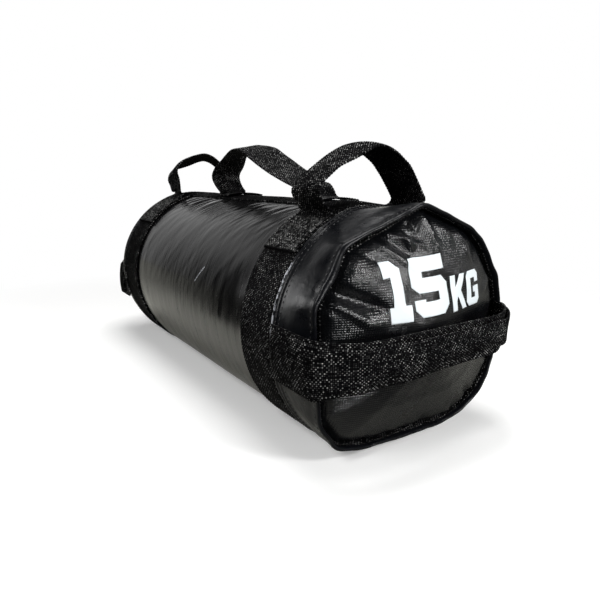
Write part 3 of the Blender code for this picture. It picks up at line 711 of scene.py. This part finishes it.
# Collars: for each sort of unevenness its depth, how fine it is round the bag and where it lies, in
# millimetres in front of the ring: from where nothing shows to where all does, or a middle and a reach
COLLAR_COLUMNS, ROUND_ROWS = 90, 400
RIM_PUCKER, PUCKERS_ROUND, RIM_ZONE = 1.0 * MM, 9, (30.0, 52.0)
LIP_SWAY, SWAYS_ROUND = 0.8 * MM, 6
FOLD_TUG, TUGS_ROUND, FOLD_ZONE = 0.6 * MM, 24, (2.0, 4.0)
COLLAR_SLACK, SLACKS_ROUND, SLACK_ZONE = 0.8 * MM, 3, (9.0, 21.0)
REAR_BULGE, BULGE_ZONE = 2.2 * MM, (14.0, 14.0)
UNDER_RING_ZONE = (1.0, -4.0)
# The lip's edge is slanted back over some degrees round the rim
LIP_BEVEL, LIP_ZONE = 3.0 * MM, (52.6, 53.4)
LIP_BEVEL_MIDDLE, LIP_BEVEL_REACH = -54.0, 22.0
BEVEL_FORWARD = 0.4
# The front end's crest sags between the feet of its loop
CREST_SAG, SAG_ZONE = 3.0 * MM, (46.0, 8.0)
CREST_SAG_MIDDLE, CREST_SAG_REACH = 2.0, 21.0
COLLAR_PATH = Path(COLLAR_PROFILE)


def crest_sag(angle, share):
    """How far the front end's crest sags, at that share of the whole sag."""
    return CREST_SAG * share * hump(math.degrees(signed(angle)), CREST_SAG_MIDDLE, CREST_SAG_REACH)


def collar_spot(end, u, v):
    """A point of the collar: along its profile by u, once round by v."""
    along, share, offset = COLLAR_PATH.at(u)
    angle = math.tau * v
    near_rim = ease(along, *RIM_ZONE)
    pucker = RIM_PUCKER * near_rim * ripple_round(angle, PUCKERS_ROUND, end * 3 + along / 30)
    tug = FOLD_TUG * hump(along, *FOLD_ZONE) * ripple_round(angle, TUGS_ROUND, 7 + end)
    slack = COLLAR_SLACK * ease(along, *SLACK_ZONE) * ripple_round(angle, SLACKS_ROUND, along / 16 + end)
    sway = LIP_SWAY * near_rim * ripple_round(angle, SWAYS_ROUND, 21 + end)
    bulge = REAR_BULGE * hump(along, *BULGE_ZONE) if end < 0 else 0.0
    slanted = hump(math.degrees(signed(angle)), LIP_BEVEL_MIDDLE, LIP_BEVEL_REACH)
    bevel = LIP_BEVEL * slanted * ease(along, *LIP_ZONE)
    x = RING_FRONT + along * MM + sway + BEVEL_FORWARD * bevel
    radius = blended(RADIUS, rim_radius(end, angle), share) + offset * MM
    radius += pucker + tug + slack + bulge - bevel - rear_narrowing(end * x, angle)
    spot = around(end * x, angle, radius)
    if end > 0:
        spot.z -= crest_sag(angle, ease(along, *SAG_ZONE))
    spot.z = max(spot.z, ease(along, *UNDER_RING_ZONE) * (WEBBING + LAYER_GAP))
    return spot


def build_collar(end, prefix):
    """The vinyl band from the ring to the rim, with its folded edge beside the ring and its rolled lip."""

    def place(u, v):
        return collar_spot(end, u, v * end)

    collar = sheet(prefix + "_collar_skin", COLLAR_COLUMNS, ROUND_ROWS, place, COLLAR_VINYL,
                   size=(80 * MM, math.tau * RADIUS), weld=BODY_WELD)
    thicken(collar, SKIN, -1.0)
    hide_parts(prefix + "_collar")
    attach(collar, "bag")


# End panels: places on them are shares of their radius, from where nothing shows to where all does
PANEL_COLUMNS = 74
PANEL_WELD = 0.02 * MM
FLANGE_START = 0.86
FLANGE_DEPTH = 5.0 * MM
FLANGE_ROUND = 0.6 * MM
SEAM_GATHER, SEAM_SHARES = 0.8 * MM, (0.72, 0.97)
PANEL_SAG, SAG_SHARES = 0.7 * MM, (0.0, 0.2)
SAGS_PER_METRE = 26
# The folds stand on a slightly raised ground
FOLD_GROUND = 1.6 * MM
GROUND_INNER_SHARES, GROUND_OUTER_SHARES = (0.45, 0.60), (1.02, 0.90)
# A fold fades out at both ends, as shares of its length, and is gone at three times its half width
FOLD_START_SHARES, FOLD_STOP_SHARES = (-0.15, 0.10), (1.3, 0.6)
FOLD_REACH = 3.0


def panel_edge(end, angle):
    """The radius at which the panel meets the hem."""
    beside = hump(math.degrees(signed(angle)), CREVICE_MIDDLE, CREVICE_REACH)
    return rim_radius(end, angle) - PANEL_INSET - CREVICE_INSET * beside


def panel_height(share):
    """How far in front of the rim the panel's surface lies, at a share of its radius."""
    for (first, low), (second, high) in zip(PANEL_PROFILE, PANEL_PROFILE[1:]):
        if share <= second:
            return blended(low, high, (share - first) / (second - first)) * MM
    return PANEL_PROFILE[-1][1] * MM


def fold_lift(y, z):
    """What the panel's folds add at a point of its face, in metres."""
    total = 0.0
    for y0, z0, y1, z1, width, lift in PANEL_FOLDS:
        run = Vector((y1 - y0, z1 - z0)) * MM
        away = Vector((y, z)) - Vector((y0, z0)) * MM
        share = away.dot(run) / run.length_squared
        across = (away - run * min(max(share, 0.0), 1.0)).length / (width * MM)
        if across < FOLD_REACH:
            along = ease(share, *FOLD_STOP_SHARES) * ease(share, *FOLD_START_SHARES)
            total += lift * MM * along * math.exp(-across * across)
    return total


def panel_x(y, z, end=1):
    """How far along the bag the panel's surface lies, at a point of its face."""
    angle = math.atan2(y, z)
    share = math.hypot(y, z) / panel_edge(end, angle)
    near_seam = ease(share, *SEAM_SHARES)
    gather = SEAM_GATHER * near_seam * ripple_round(angle, 13, 3 * share + end)
    waves = ripple(y * SAGS_PER_METRE, z * SAGS_PER_METRE, end)
    sag = PANEL_SAG * ease(share, *SAG_SHARES) * (1 - near_seam) * waves
    ground = FOLD_GROUND * ease(share, *GROUND_INNER_SHARES) * ease(share, *GROUND_OUTER_SHARES)
    return RIM + panel_height(share) + ground + fold_lift(y, z) + gather + sag


def build_panel(end, prefix):
    """The end panel, sloping back all round from under the strap into the crevice of the rim."""

    def place(u, v):
        angle = math.tau * v * end
        edge = panel_edge(end, angle)
        if u <= FLANGE_START:
            radius = edge * (u / FLANGE_START)
            y, z = radius * math.sin(angle), radius * math.cos(angle)
            x = panel_x(y, z, end)
        else:
            back = (u - FLANGE_START) / (1 - FLANGE_START)
            radius = edge + FLANGE_ROUND * math.sin(math.pi * back)
            y, z = radius * math.sin(angle), radius * math.cos(angle)
            x = panel_x(y * 0.999, z * 0.999, end) - FLANGE_DEPTH * back
        return Vector((end * x, y, AXIS + z))

    panel = sheet(prefix + "_panel_skin", PANEL_COLUMNS, ROUND_ROWS, place, PANEL_VINYL,
                  size=(120 * MM, math.tau * RADIUS), weld=PANEL_WELD, outward=Vector((end, 0, 0)))
    thicken(panel, SKIN, -1.0)
    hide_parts(prefix + "_end_panel")
    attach(panel, "bag")


# Webbing
TAPE_WIDTH = 9.0 * MM
TAPE_THICKNESS = 0.6 * MM
TAPE_BEHIND_RIM = 13.0 * MM
TAPE_OUTSIDE = 0.9 * MM
TAPE_SWAY = 1.2 * MM
RING_WANDER, RING_RIPPLE = 0.5 * MM, 0.25 * MM
STRIP_BELOW_RING, STRIP_RIPPLE = 0.6 * MM, 0.3 * MM
TOP_SEAT = 3.0 * MM


def build_rim_webbing(end, prefix):
    """The narrow webbing sewn inside the rim, of which short stretches show in the crevice."""

    def middle(u, v):
        angle = math.tau * v * end
        x = RIM - TAPE_BEHIND_RIM + TAPE_WIDTH * u + TAPE_SWAY * ripple_round(angle, 5, 11)
        return around(end * x, angle, panel_edge(end, angle) + TAPE_OUTSIDE)

    name = prefix + "_rim_webbing"
    band = webbing(name, TAPE_WIDTH, math.tau * RADIUS, middle, WEBBING_FINISH, closed=True)
    band.modifiers["thickness"].thickness = TAPE_THICKNESS
    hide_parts(prefix + "_rim_tape")
    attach(band, "bag")


def build_ring(end, prefix):
    """The webbing sewn right round the bag."""

    def middle(u, v):
        angle = math.tau * v
        share = u if end > 0 else 1 - u
        x = blended(end * RING_REAR, end * RING_FRONT, share)
        wander = RING_WANDER * ripple_round(angle, 4, 31 + end)
        radius = RING_OUTER - WEBBING / 2 + RING_RIPPLE * ripple_round(angle, 7, u * 3)
        spot = around(x + wander, angle, radius - rear_narrowing(x, angle))
        if end > 0:
            spot.z -= crest_sag(angle, ease(share))
        spot.z = max(spot.z, WEBBING / 2 + WEAVE_RELIEF / 2)
        return spot

    name, width = prefix + "_ring_weave", RING_FRONT - RING_REAR
    ring = webbing(name, width, math.tau * RING_OUTER, middle, WEBBING_FINISH, closed=True)
    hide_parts(prefix + "_ring_webbing")
    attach(ring, "bag")


def build_crest_strip():
    """The webbing along the crest, from ring to ring."""
    width = strip_high.y - strip_low.y
    half_angle = math.asin(width / 2 / RING_OUTER)

    def middle(u, v):
        x = blended(strip_low.x, strip_high.x, 1 - v)
        angle = blended(-half_angle, half_angle, u)
        radius = RING_OUTER - STRIP_BELOW_RING - WEBBING / 2 + STRIP_RIPPLE * ripple(x * 40, u * 2, 13)
        return around(x, angle, radius)

    strip = webbing("crest_strip_weave", width, strip_high.x - strip_low.x, middle, WEBBING_FINISH)
    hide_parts("top_strip")
    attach(strip, "bag")


def foot_turn(across, up, heading):
    """The tight turn at a loop's foot, as (across, up), which the strap enters at that angle."""
    turn = math.radians(TURN_ANGLE) / TURN_STEPS
    angles = [heading + turn * step for step in range(TURN_STEPS + 1)]
    across += TURN_RADIUS * math.sin(heading)
    up += TURN_RADIUS * math.cos(heading)
    return [(across - TURN_RADIUS * math.sin(angle), up - TURN_RADIUS * math.cos(angle)) for angle in angles]


def tail_and_turn(side, foot_angle):
    """A loop's sewn tail along the ring and the turn at its foot, as (across, height above the axis)."""
    points = []
    for step in range(TAIL_STEPS + 1):
        angle = math.radians(blended(TAIL_END_ANGLE, foot_angle, step / TAIL_STEPS))
        points.append((TAIL_RADIUS * math.sin(angle), TAIL_RADIUS * math.cos(angle)))
    foot = points.pop()
    points += foot_turn(*foot, math.radians(foot_angle))
    return [(side * across, up) for across, up in points]


def build_cross_loop(end, prefix):
    """The loop across the ring, one strap from its left tail to its right one."""
    outer, inner, (outer_foot, inner_foot, right_foot) = CROSS_LOOPS[end]
    edges = []
    for shape, x, foot in (
        (inner, RING_MIDDLE - CROSS_WIDTH / 2, inner_foot),
        (outer, RING_MIDDLE + CROSS_WIDTH / 2, outer_foot),
    ):
        left, right = tail_and_turn(-1, foot), tail_and_turn(1, right_foot)[::-1]
        loop = [(y * MM, z * MM) for y, z in shape]
        edges.append(Path([(end * x, y, AXIS + z) for y, z in left + loop + right]))
    if end < 0:
        edges.reverse()
    length = edges[0].length

    def middle(u, v):
        spot = edges[0].at(v).lerp(edges[1].at(v), u)
        arch = ease(spot.z - AXIS - TAIL_RADIUS, *BOW_HEIGHTS)
        spot.z += LOOP_BOW * arch * (1 - (2 * u - 1) ** 2)
        return spot

    tail = TAIL_RADIUS * math.radians(TAIL_END_ANGLE - right_foot)
    finish = polypropylene_webbing(prefix + "_loop_webbing", *WEBBING_LOOK, half=length / 2, tail=tail)
    loop = webbing(prefix + "_cross_loop_weave", CROSS_WIDTH, length, middle, finish)
    node = prefix + "_cross_handle"
    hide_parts(node, node + "_left_end", node + "_right_end")
    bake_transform(loop)


def build_top_loop():
    """The long loop on the crest, one strap from its rear tail to its front one."""
    tail_start, tail_end = (x * MM for x in TOP_TAIL_ENDS)
    edges = []
    for shape, foot, side in ((TOP_LEFT_EDGE, TOP_LEFT_FOOT, -1), (TOP_RIGHT_EDGE, TOP_RIGHT_FOOT, 1)):
        y = side * TOP_WIDTH / 2
        crown = math.sqrt(TAIL_RADIUS ** 2 - y ** 2)
        points = [(tail_start, crown), ((tail_start + foot * MM) / 2, crown)]
        points += foot_turn(foot * MM, crown, 0.0)
        points += [(x * MM, z * MM) for x, z in shape]
        points.append((tail_end, crown))
        edges.append(Path([(RIM + x, y, AXIS + z) for x, z in points]))
    length = edges[0].length

    def middle(u, v):
        spot = edges[1].at(v).lerp(edges[0].at(v), u)
        low = AXIS + math.sqrt(max(TAIL_RADIUS ** 2 - spot.y ** 2, 0.0))
        if spot.z < low + TOP_SEAT:
            spot.z = max(spot.z, low)
        return spot

    finish = polypropylene_webbing("top_loop_webbing", *WEBBING_LOOK, half=length / 2, tail=TOP_TAIL_LENGTH)
    loop = webbing("top_loop_weave", TOP_WIDTH, length, middle, finish)
    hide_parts("top_handle", "top_handle_front_end", "top_handle_rear_end")
    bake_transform(loop)


def end_plan(start, radius, face, shares):
    """A strap's plan round one end, as a path of (x, y)."""
    half = [(start, -radius)] + [(RIM + face * along, -radius * out) for along, out in shares]
    return Path([(x, y, 0) for x, y in half + [(RIM + face, 0.0)] + [(x, -y) for x, y in reversed(half)]])


# The webbing of the ends: its plan, radius and face, how much narrower and lower it is, its cup, and how far
# the front one's lower edge rises over the face and at the right corner
END_WEBBING = {
    "strap": (
        end_plan(RING_FRONT + LAYER_GAP, STRAP_RADIUS, STRAP_FACE, STRAP_CORNER_SHARES),
        STRAP_RADIUS, STRAP_FACE, 0.0, 0.0, 0.0, STRAP_RISES, STRAP_CORNER_RISE,
    ),
    "grip": (
        end_plan(RIM - GRIP_LAP, GRIP_RADIUS, GRIP_FACE, GRIP_CORNER_SHARES),
        GRIP_RADIUS, GRIP_FACE, GRIP_NARROWER, GRIP_LOWER, GRIP_CUP, GRIP_RISES, GRIP_CORNER_RISE,
    ),
}
# Where those edges rise, as shares of the radius, and where the grip lifts off its sewn ends
RISE_SHARES, CORNER_SHARES = (-0.4, 0.4), (0.64, 0.92)


def build_end_webbing(end, prefix):
    """The strap sewn across the end, and over it the cupped grip."""
    for part, (plan, radius, face, narrower, lower, cup, rise, corner_rise) in END_WEBBING.items():

        def middle(u, v):
            x, y, _ = plan.at(v)
            onto_face = ease(x, RIM, RIM + face)
            drooped = ease(x, RING_FRONT, RING_FRONT + REAR_DROOP_REACH) if end < 0 else 0.0
            across = (u - 0.5) * end
            width = blended(SIDE_WIDTH, FACE_WIDTH, onto_face) - narrower
            side_height = blended(SIDE_HEIGHT, REAR_SIDE_HEIGHT, drooped)
            height = blended(side_height, FACE_HEIGHT, onto_face) + across * width - lower * onto_face
            if end > 0:
                below = 0.5 - across
                rightward = ease(y / radius, *RISE_SHARES)
                corner = ease(y / radius, *CORNER_SHARES)
                height += (corner_rise * corner + rise * rightward * onto_face) * below
                y -= RIGHT_END_IN * corner * ease(1.5 * below)
            drawn_in = (radius - math.sqrt(radius ** 2 - height ** 2)) * (1 - onto_face)
            drawn_in += (REAR_DRAWN_IN + across * REAR_TILT) * drooped
            y -= math.copysign(drawn_in, y)
            cupped = ease(abs(y) / radius, *CUP_SHARES)
            x -= cup * cupped * abs(2 * across) ** CUP_CURVE
            return Vector((end * x, y, AXIS + height))

        name = f"{prefix}_end_{part}_weave"
        band = webbing(name, SIDE_WIDTH - narrower, plan.length, middle, WEBBING_FINISH)
        if part == "strap":
            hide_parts(prefix + "_end_strap")
            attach(band, "bag")
        else:
            node = prefix + "_end_grip"
            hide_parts(node, node + "_left_end", node + "_right_end")
            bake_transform(band)


# The sack inside: (share of the panel's radius, distance in front of the rim in mm) over one end, from its
# middle, and where its shoulder meets the straight part
SACK_PROFILE = (
    (0.0, 19.5), (0.2, 18.0), (0.4, 12.4), (0.6, 4.8), (0.8, -4.0), (0.9, -9.0), (0.955, -14.0),
    (0.985, -20.0),
)
SACK_SHOULDER = -40.0
SACK_STEPS, SACK_ROWS = 4, 120
MOUTH_SHARE = 0.3


def build_sack(name, node, finish, inset, cloth):
    """The sack or its filling, a roll that keeps the inset from the cover and rounds over at both ends.

    Cloth gets its thickness and has the filling mouth in the middle of its rear end.
    """
    half = [Vector((1, share, x)) for share, x in SACK_PROFILE] + [Vector((0, 1, SACK_SHOULDER))]
    last = 2 * len(half) - 1

    def ring_of(position, angle):
        end = 1 if position < len(half) else -1
        on_panel, share, x = half[position if end > 0 else last - position]
        if cloth and end < 0:
            share = max(share, MOUTH_SHARE)
        straight = RADIUS - rear_narrowing(end * (RIM + x * MM), angle)
        reach = panel_edge(end, angle) if on_panel else straight
        radius = max(share * reach - inset * min(2 * share, 1), 0.0)
        return around(end * (RIM + x * MM - inset), angle, radius)

    def place(u, v):
        angle = math.tau * v
        index = min(int(u * last), last - 1)
        spot = ring_of(index, angle).lerp(ring_of(index + 1, angle), u * last - index)
        spot.z = max(spot.z, inset)
        return spot

    up = Vector((0, 0, 1))
    sack = sheet(name, last * SACK_STEPS, SACK_ROWS, place, finish, weld=PANEL_WELD, outward=up)
    if cloth:
        thicken(sack, cloth, -1.0)
    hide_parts(node)
    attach(sack, "bag")


# Weight figures on the front panel: closed outlines as (y, height) in millimetres
FIGURES = {
    "one": (
        (-47.5, 69.3), (-38, 70), (-30, 64), (-29, 35.8), (-23.5, 35.8), (-23.5, 23), (-42, 22),
        (-42.5, 34.5), (-39.3, 34.8), (-40, 57.8), (-46.8, 57),
    ),
    "five": (
        (-21.9, 70.7), (15.1, 72.7), (15.1, 61.2), (-9.9, 59.9), (-9.9, 55.2), (10.6, 56), (17.1, 49.7),
        (17.1, 32.2), (10.6, 25.7), (-13.9, 24.7), (-20.4, 30.7), (-20.4, 38.2), (-9.4, 38.7), (-9.4, 36.5),
        (5.6, 37.2), (5.6, 44.2), (-14.4, 43.2), (-21.9, 48.7),
    ),
    "letter_k": (
        (21.9, 53.5), (28.4, 53.8), (28.4, 43.5), (34.9, 54), (42.4, 54.2), (35.9, 40.5), (43.9, 25.2),
        (36.4, 24.8), (30.9, 36), (28.4, 32.5), (28.4, 24.6), (21.9, 24.2),
    ),
    "letter_g": (
        (48.3, 54.6), (62.3, 55), (66.3, 51), (66.3, 44.5), (59.3, 44.2), (59.3, 48.5), (51.8, 48.2),
        (51.8, 31.5), (59.3, 31.8), (59.3, 36), (55.8, 36), (55.8, 41), (66.3, 41.3), (66.3, 29.5),
        (62.3, 25.8), (48.3, 25.2), (44.6, 29), (44.6, 50.5),
    ),
}
FIGURE_CELL = 1.4 * MM
INK_LIFT, INK_THICKNESS = 0.5 * MM, 0.2 * MM


def build_weight_figures():
    """The printed weight, cut into cells and laid onto the panel's folds."""
    for name, outline in FIGURES.items():
        mesh = bmesh.new()
        mesh.faces.new([mesh.verts.new((0.0, y * MM, z * MM)) for y, z in outline])
        for axis in (1, 2):
            values = [vert.co[axis] for vert in mesh.verts]
            low, high = min(values), max(values)
            for cut in range(1, int((high - low) / FIGURE_CELL) + 1):
                point, normal = Vector(), Vector()
                point[axis] = low + cut * FIGURE_CELL
                normal[axis] = 1.0
                parts = mesh.verts[:] + mesh.edges[:] + mesh.faces[:]
                bmesh.ops.bisect_plane(mesh, geom=parts, plane_co=point, plane_no=normal)
        bmesh.ops.triangulate(mesh, faces=mesh.faces)
        for vert in mesh.verts:
            y, z = vert.co.y, vert.co.z
            vert.co = Vector((panel_x(y, z) + INK_LIFT, y, AXIS + z))
        turn_out(mesh, Vector((1, 0, 0)))
        figure = as_piece("weight_figure_" + name, mesh, INK)
        thicken(figure, INK_THICKNESS, 0.0)
        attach(figure, "bag")


# Stitching: the places of its rows, as shares of the collar's profile or, across a loop's sewn end, as angles
# from the top, and the pitch of the stitches
THREAD_RADIUS = 0.45 * MM
STITCH_FILL = 0.62
ROUND_STEPS = 180
COLLAR_ROW_SHARES, COLLAR_PITCH = {"inner": 0.355, "outer": 0.400}, 4.6 * MM
RIM_ROW_SHARE, RIM_PITCH = 0.80, 5.0 * MM
LOOP_ROW_ANGLES, LOOP_PITCH = {"foot": 23.5, "tail": 47.5}, 4.0 * MM
LOOP_ROW_HALF = 22.5 * MM
STITCH_LIFT = 0.15 * MM
STITCH_OVER_FLOOR = 1.3 * THREAD_RADIUS


def stitches(name, line, pitch):
    """Separate stitches along a path: rounded beads of thread, drawn a little coarse so that they show."""
    mesh = bmesh.new()
    count = max(1, round(line.length / pitch))
    for step in range(count):
        first = line.at((step + 0.5 - STITCH_FILL / 2) / count)
        last = line.at((step + 0.5 + STITCH_FILL / 2) / count)
        run = last - first
        turn = run.to_track_quat("X", "Z").to_matrix().to_4x4()
        shape = Matrix.Diagonal((run.length / 2, THREAD_RADIUS, THREAD_RADIUS, 1.0))
        place = Matrix.Translation((first + last) / 2) @ turn @ shape
        bmesh.ops.create_icosphere(mesh, subdivisions=1, radius=1.0, matrix=place)
    piece = as_piece(name, mesh, THREAD)
    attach(piece, "bag")


def build_stitching(end, prefix):
    """Rows of stitches: beside the ring, in the lip of the rim, and across the sewn ends of the loops."""
    for row, share in COLLAR_ROW_SHARES.items():
        points = [collar_spot(end, share, step / ROUND_STEPS) for step in range(ROUND_STEPS + 1)]
        for spot in points:
            spot += Vector((0, spot.y, spot.z - AXIS)).normalized() * STITCH_LIFT
            spot.z = max(spot.z, STITCH_OVER_FLOOR)
        stitches(f"{prefix}_collar_stitches_{row}", Path(points, samples=2), COLLAR_PITCH)
    points = [collar_spot(end, RIM_ROW_SHARE, step / ROUND_STEPS) for step in range(ROUND_STEPS + 1)]
    stitches(prefix + "_rim_stitches", Path(points, samples=2), RIM_PITCH)
    radius = TAIL_RADIUS + WEBBING / 2 + WEAVE_RELIEF
    for hand, side in (("left", -1), ("right", 1)):
        for place, angle in LOOP_ROW_ANGLES.items():
            points = [
                around(end * (RING_MIDDLE + LOOP_ROW_HALF * along), side * math.radians(angle), radius)
                for along in (-1.0, -0.5, 0.0, 0.5, 1.0)
            ]
            stitches(f"{prefix}_loop_{hand}_{place}_stitches", Path(points, samples=2), LOOP_PITCH)


# Build everything
for object_end, object_prefix in ((1, "front"), (-1, "rear")):
    build_collar(object_end, object_prefix)
    build_panel(object_end, object_prefix)
    build_rim_webbing(object_end, object_prefix)
    build_ring(object_end, object_prefix)
    build_cross_loop(object_end, object_prefix)
    build_end_webbing(object_end, object_prefix)
    build_stitching(object_end, object_prefix)
build_cover()
build_crest_strip()
build_top_loop()
build_weight_figures()
build_sack("inner_bag_cloth", "inner_bag", LINER, 1.8 * MM, cloth=0.8 * MM)
build_sack("packed_filling", "filling", GRAINS, 3.2 * MM, cloth=0.0)


# Stage, light and camera
CAMERA_PLACE = (0.564, -0.3192, 0.2278)
CAMERA_TURN = (56.51, 12.97)
CAMERA_LENS = 31.87
SENSOR = 36.0
CAMERA_NEAREST = 0.01
WHITE = (1.0, 1.0, 1.0, 1.0)
FLOOR_HALF = 40.0
FLOOR_GLOW = 0.22
# Where the floor fades to white, by its distance from the bag, and the edges of the parts painted pale for the
# vinyl to mirror, from where they are painted dark to where they are pale
FLOOR_FADE = (0.38, 0.75)
MIRRORED_SIDE = (-0.29, -0.22)
MIRRORED_SLANT = (-0.42, 1.0, 0.0)
MIRRORED_EDGE = (-0.17, -0.11)
MIRRORED_FRONT = (0.36, 0.20)
MIRRORED_RIGHT = (0.13, 0.28)
# Further back and to the right, where no lamp reaches, the pale part glows instead
MIRRORED_FAR = (-0.35, -0.75)
FAR_GLOW = 0.62
# The card behind the bag, by direction: its left edge, and its fades to the right, to the top and to the
# front, each with the levels between which it fades
CARD_LEFT_EDGE = (-0.405, -0.35)
CARD_RIGHT_FADE = (-0.34, 0.0, 0.42, 0.76)
CARD_TOP_FADE = (0.42, 0.56, 1.0, 0.18)
CARD_FRONT_FADE = (-0.30, 0.60, 1.0, 0.12)
ROOM_DIM = 0.04
# The lamps: name, place, target, width, power in watts and spread in degrees
LAMPS = (
    ("key_light", (0.45, -1.15, 1.05), (0.1, 0, 0.1), 0.5, 10.0, 180.0),
    ("top_light", (-0.2, 0.1, 1.6), (0, 0, 0.1), 0.9, 20.0, 180.0),
    ("end_light", (1.29, 0.45, 0.77), (0.2, 0, 0.1), 0.30, 11.8, 180.0),
    ("low_end_light", (1.45, -0.16, 0.21), (0.27, 0, 0.13), 0.28, 7.0, 180.0),
    ("side_light", (0.108, -0.18, 0.17), (0.227, -0.1, 0.14), 0.075, 0.018, 80.0),
)


def build_floor():
    """A wide pale floor.

    It fades into the white background away from the bag. What the vinyl mirrors of it is painted reflection:
    pale close to the bag's left side, behind a slanted line and to the right of the bag, and dark elsewhere.
    """
    mesh = bmesh.new()
    bmesh.ops.create_grid(mesh, x_segments=1, y_segments=1, size=FLOOR_HALF)
    made, tree = new_tree("pale_floor")
    rays = add_node(tree, "ShaderNodeLightPath", {}).node.outputs
    place = add_node(tree, "ShaderNodeTexCoord", {}, give="Object")
    axes = axes_of(tree)
    away = add_node(tree, "ShaderNodeVectorMath", {0: place}, give="Value", operation="LENGTH")
    paper = add_node(tree, "ShaderNodeBsdfDiffuse", {"Color": linear("#EDEDEC")})
    glow = add_node(tree, "ShaderNodeEmission", {"Color": WHITE, "Strength": FLOOR_GLOW})
    both = add_node(tree, "ShaderNodeAddShader", {0: paper, 1: glow})
    white = add_node(tree, "ShaderNodeEmission", {"Color": WHITE, "Strength": 1.0})
    seen = add_node(tree, "ShaderNodeMixShader", {0: strength(tree, (away, *FLOOR_FADE)), 1: both, 2: white})
    leftward = add_node(tree, "ShaderNodeVectorMath", {
        0: place, 1: MIRRORED_SLANT}, give="Value", operation="DOT_PRODUCT")
    either = add_node(tree, "ShaderNodeMath", {
        0: strength(tree, (axes["Y"], *MIRRORED_SIDE)),
        1: strength(tree, (leftward, *MIRRORED_EDGE))}, operation="MAXIMUM")
    left = strength(tree, (either, 0.0, 1.0), (axes["X"], *MIRRORED_FRONT))
    right = strength(tree, (axes["Y"], *MIRRORED_RIGHT))
    far = strength(tree, (axes["X"], *MIRRORED_FAR))
    lit = add_node(tree, "ShaderNodeMath", {0: left, 1: right}, operation="MAXIMUM")
    past_lamps = add_node(tree, "ShaderNodeMath", {0: far, 1: right}, operation="MAXIMUM")
    # Painted reflections: for glossy rays the floor is painted pale near the bag's left side and to its right,
    # dark elsewhere, and glows far back
    near_pale = add_node(tree, "ShaderNodeBsdfDiffuse", {"Color": linear("#D8D7CD")})
    far_pale = add_node(tree, "ShaderNodeEmission", {"Color": linear("#D8D7CD"), "Strength": FAR_GLOW})
    dark = add_node(tree, "ShaderNodeBsdfDiffuse", {"Color": linear("#0C0C0C")})
    bounce = add_node(tree, "ShaderNodeBsdfDiffuse", {"Color": linear("#767674")})
    pale = add_node(tree, "ShaderNodeMixShader", {0: past_lamps, 1: near_pale, 2: far_pale})
    painted_reflection = add_node(tree, "ShaderNodeMixShader", {0: lit, 1: dark, 2: pale})
    unseen = add_node(tree, "ShaderNodeMixShader", {0: rays["Is Glossy Ray"], 1: bounce, 2: painted_reflection})
    finish_with(tree, add_node(tree, "ShaderNodeMixShader", {0: rays["Is Camera Ray"], 1: unseen, 2: seen}))
    floor = as_piece("floor", mesh, made)


def build_world():
    """A plain studio: white to the camera, dim to matt surfaces, with a soft card for glossy ones."""
    world = bpy.data.worlds.new("studio")
    bpy.context.scene.world = world
    world.use_nodes = True
    tree = world.node_tree
    tree.nodes.clear()
    rays = add_node(tree, "ShaderNodeLightPath", {}).node.outputs
    axes = axes_of(tree, "Generated")
    level = strength(
        tree, (axes["Y"], *CARD_LEFT_EDGE), (axes["Y"], *CARD_RIGHT_FADE), (axes["Z"], *CARD_TOP_FADE),
        (axes["X"], *CARD_FRONT_FADE))
    card = add_node(tree, "ShaderNodeBackground", {"Color": WHITE, "Strength": level})
    dim = add_node(tree, "ShaderNodeBackground", {"Color": WHITE, "Strength": ROOM_DIM})
    white = add_node(tree, "ShaderNodeBackground", {"Color": WHITE, "Strength": 1.0})
    room = add_node(tree, "ShaderNodeMixShader", {0: rays["Is Glossy Ray"], 1: dim, 2: card})
    shown = add_node(tree, "ShaderNodeMixShader", {0: rays["Is Camera Ray"], 1: room, 2: white})
    finish_with(tree, shown, "ShaderNodeOutputWorld")


def add_lamp(name, place, target, width, power, spread):
    """A square soft light that faces its target."""
    lamp = bpy.data.lights.new(name, "AREA")
    lamp.shape = "SQUARE"
    lamp.size = width
    lamp.energy = power
    lamp.spread = math.radians(spread)
    holder = bpy.data.objects.new(name, lamp)
    holder.location = place
    holder.rotation_euler = (Vector(target) - Vector(place)).to_track_quat("-Z", "Y").to_euler()
    bpy.context.scene.collection.objects.link(holder)


def build_camera():
    """The photograph's camera, by its azimuth and its elevation."""
    camera = bpy.data.cameras.new("camera")
    camera.lens = CAMERA_LENS
    camera.sensor_width = SENSOR
    camera.clip_start = CAMERA_NEAREST
    holder = bpy.data.objects.new("camera", camera)
    azimuth, elevation = (math.radians(value) for value in CAMERA_TURN)
    level = math.cos(elevation)
    back = Vector((math.sin(azimuth) * level, -math.cos(azimuth) * level, math.sin(elevation)))
    holder.location = CAMERA_PLACE
    holder.rotation_euler = (-back).to_track_quat("-Z", "Y").to_euler()
    bpy.context.scene.collection.objects.link(holder)
    bpy.context.scene.camera = holder


build_floor()
build_world()
for lamp_values in LAMPS:
    add_lamp(*lamp_values)
build_camera()
bpy.context.scene.view_settings.view_transform = "Standard"
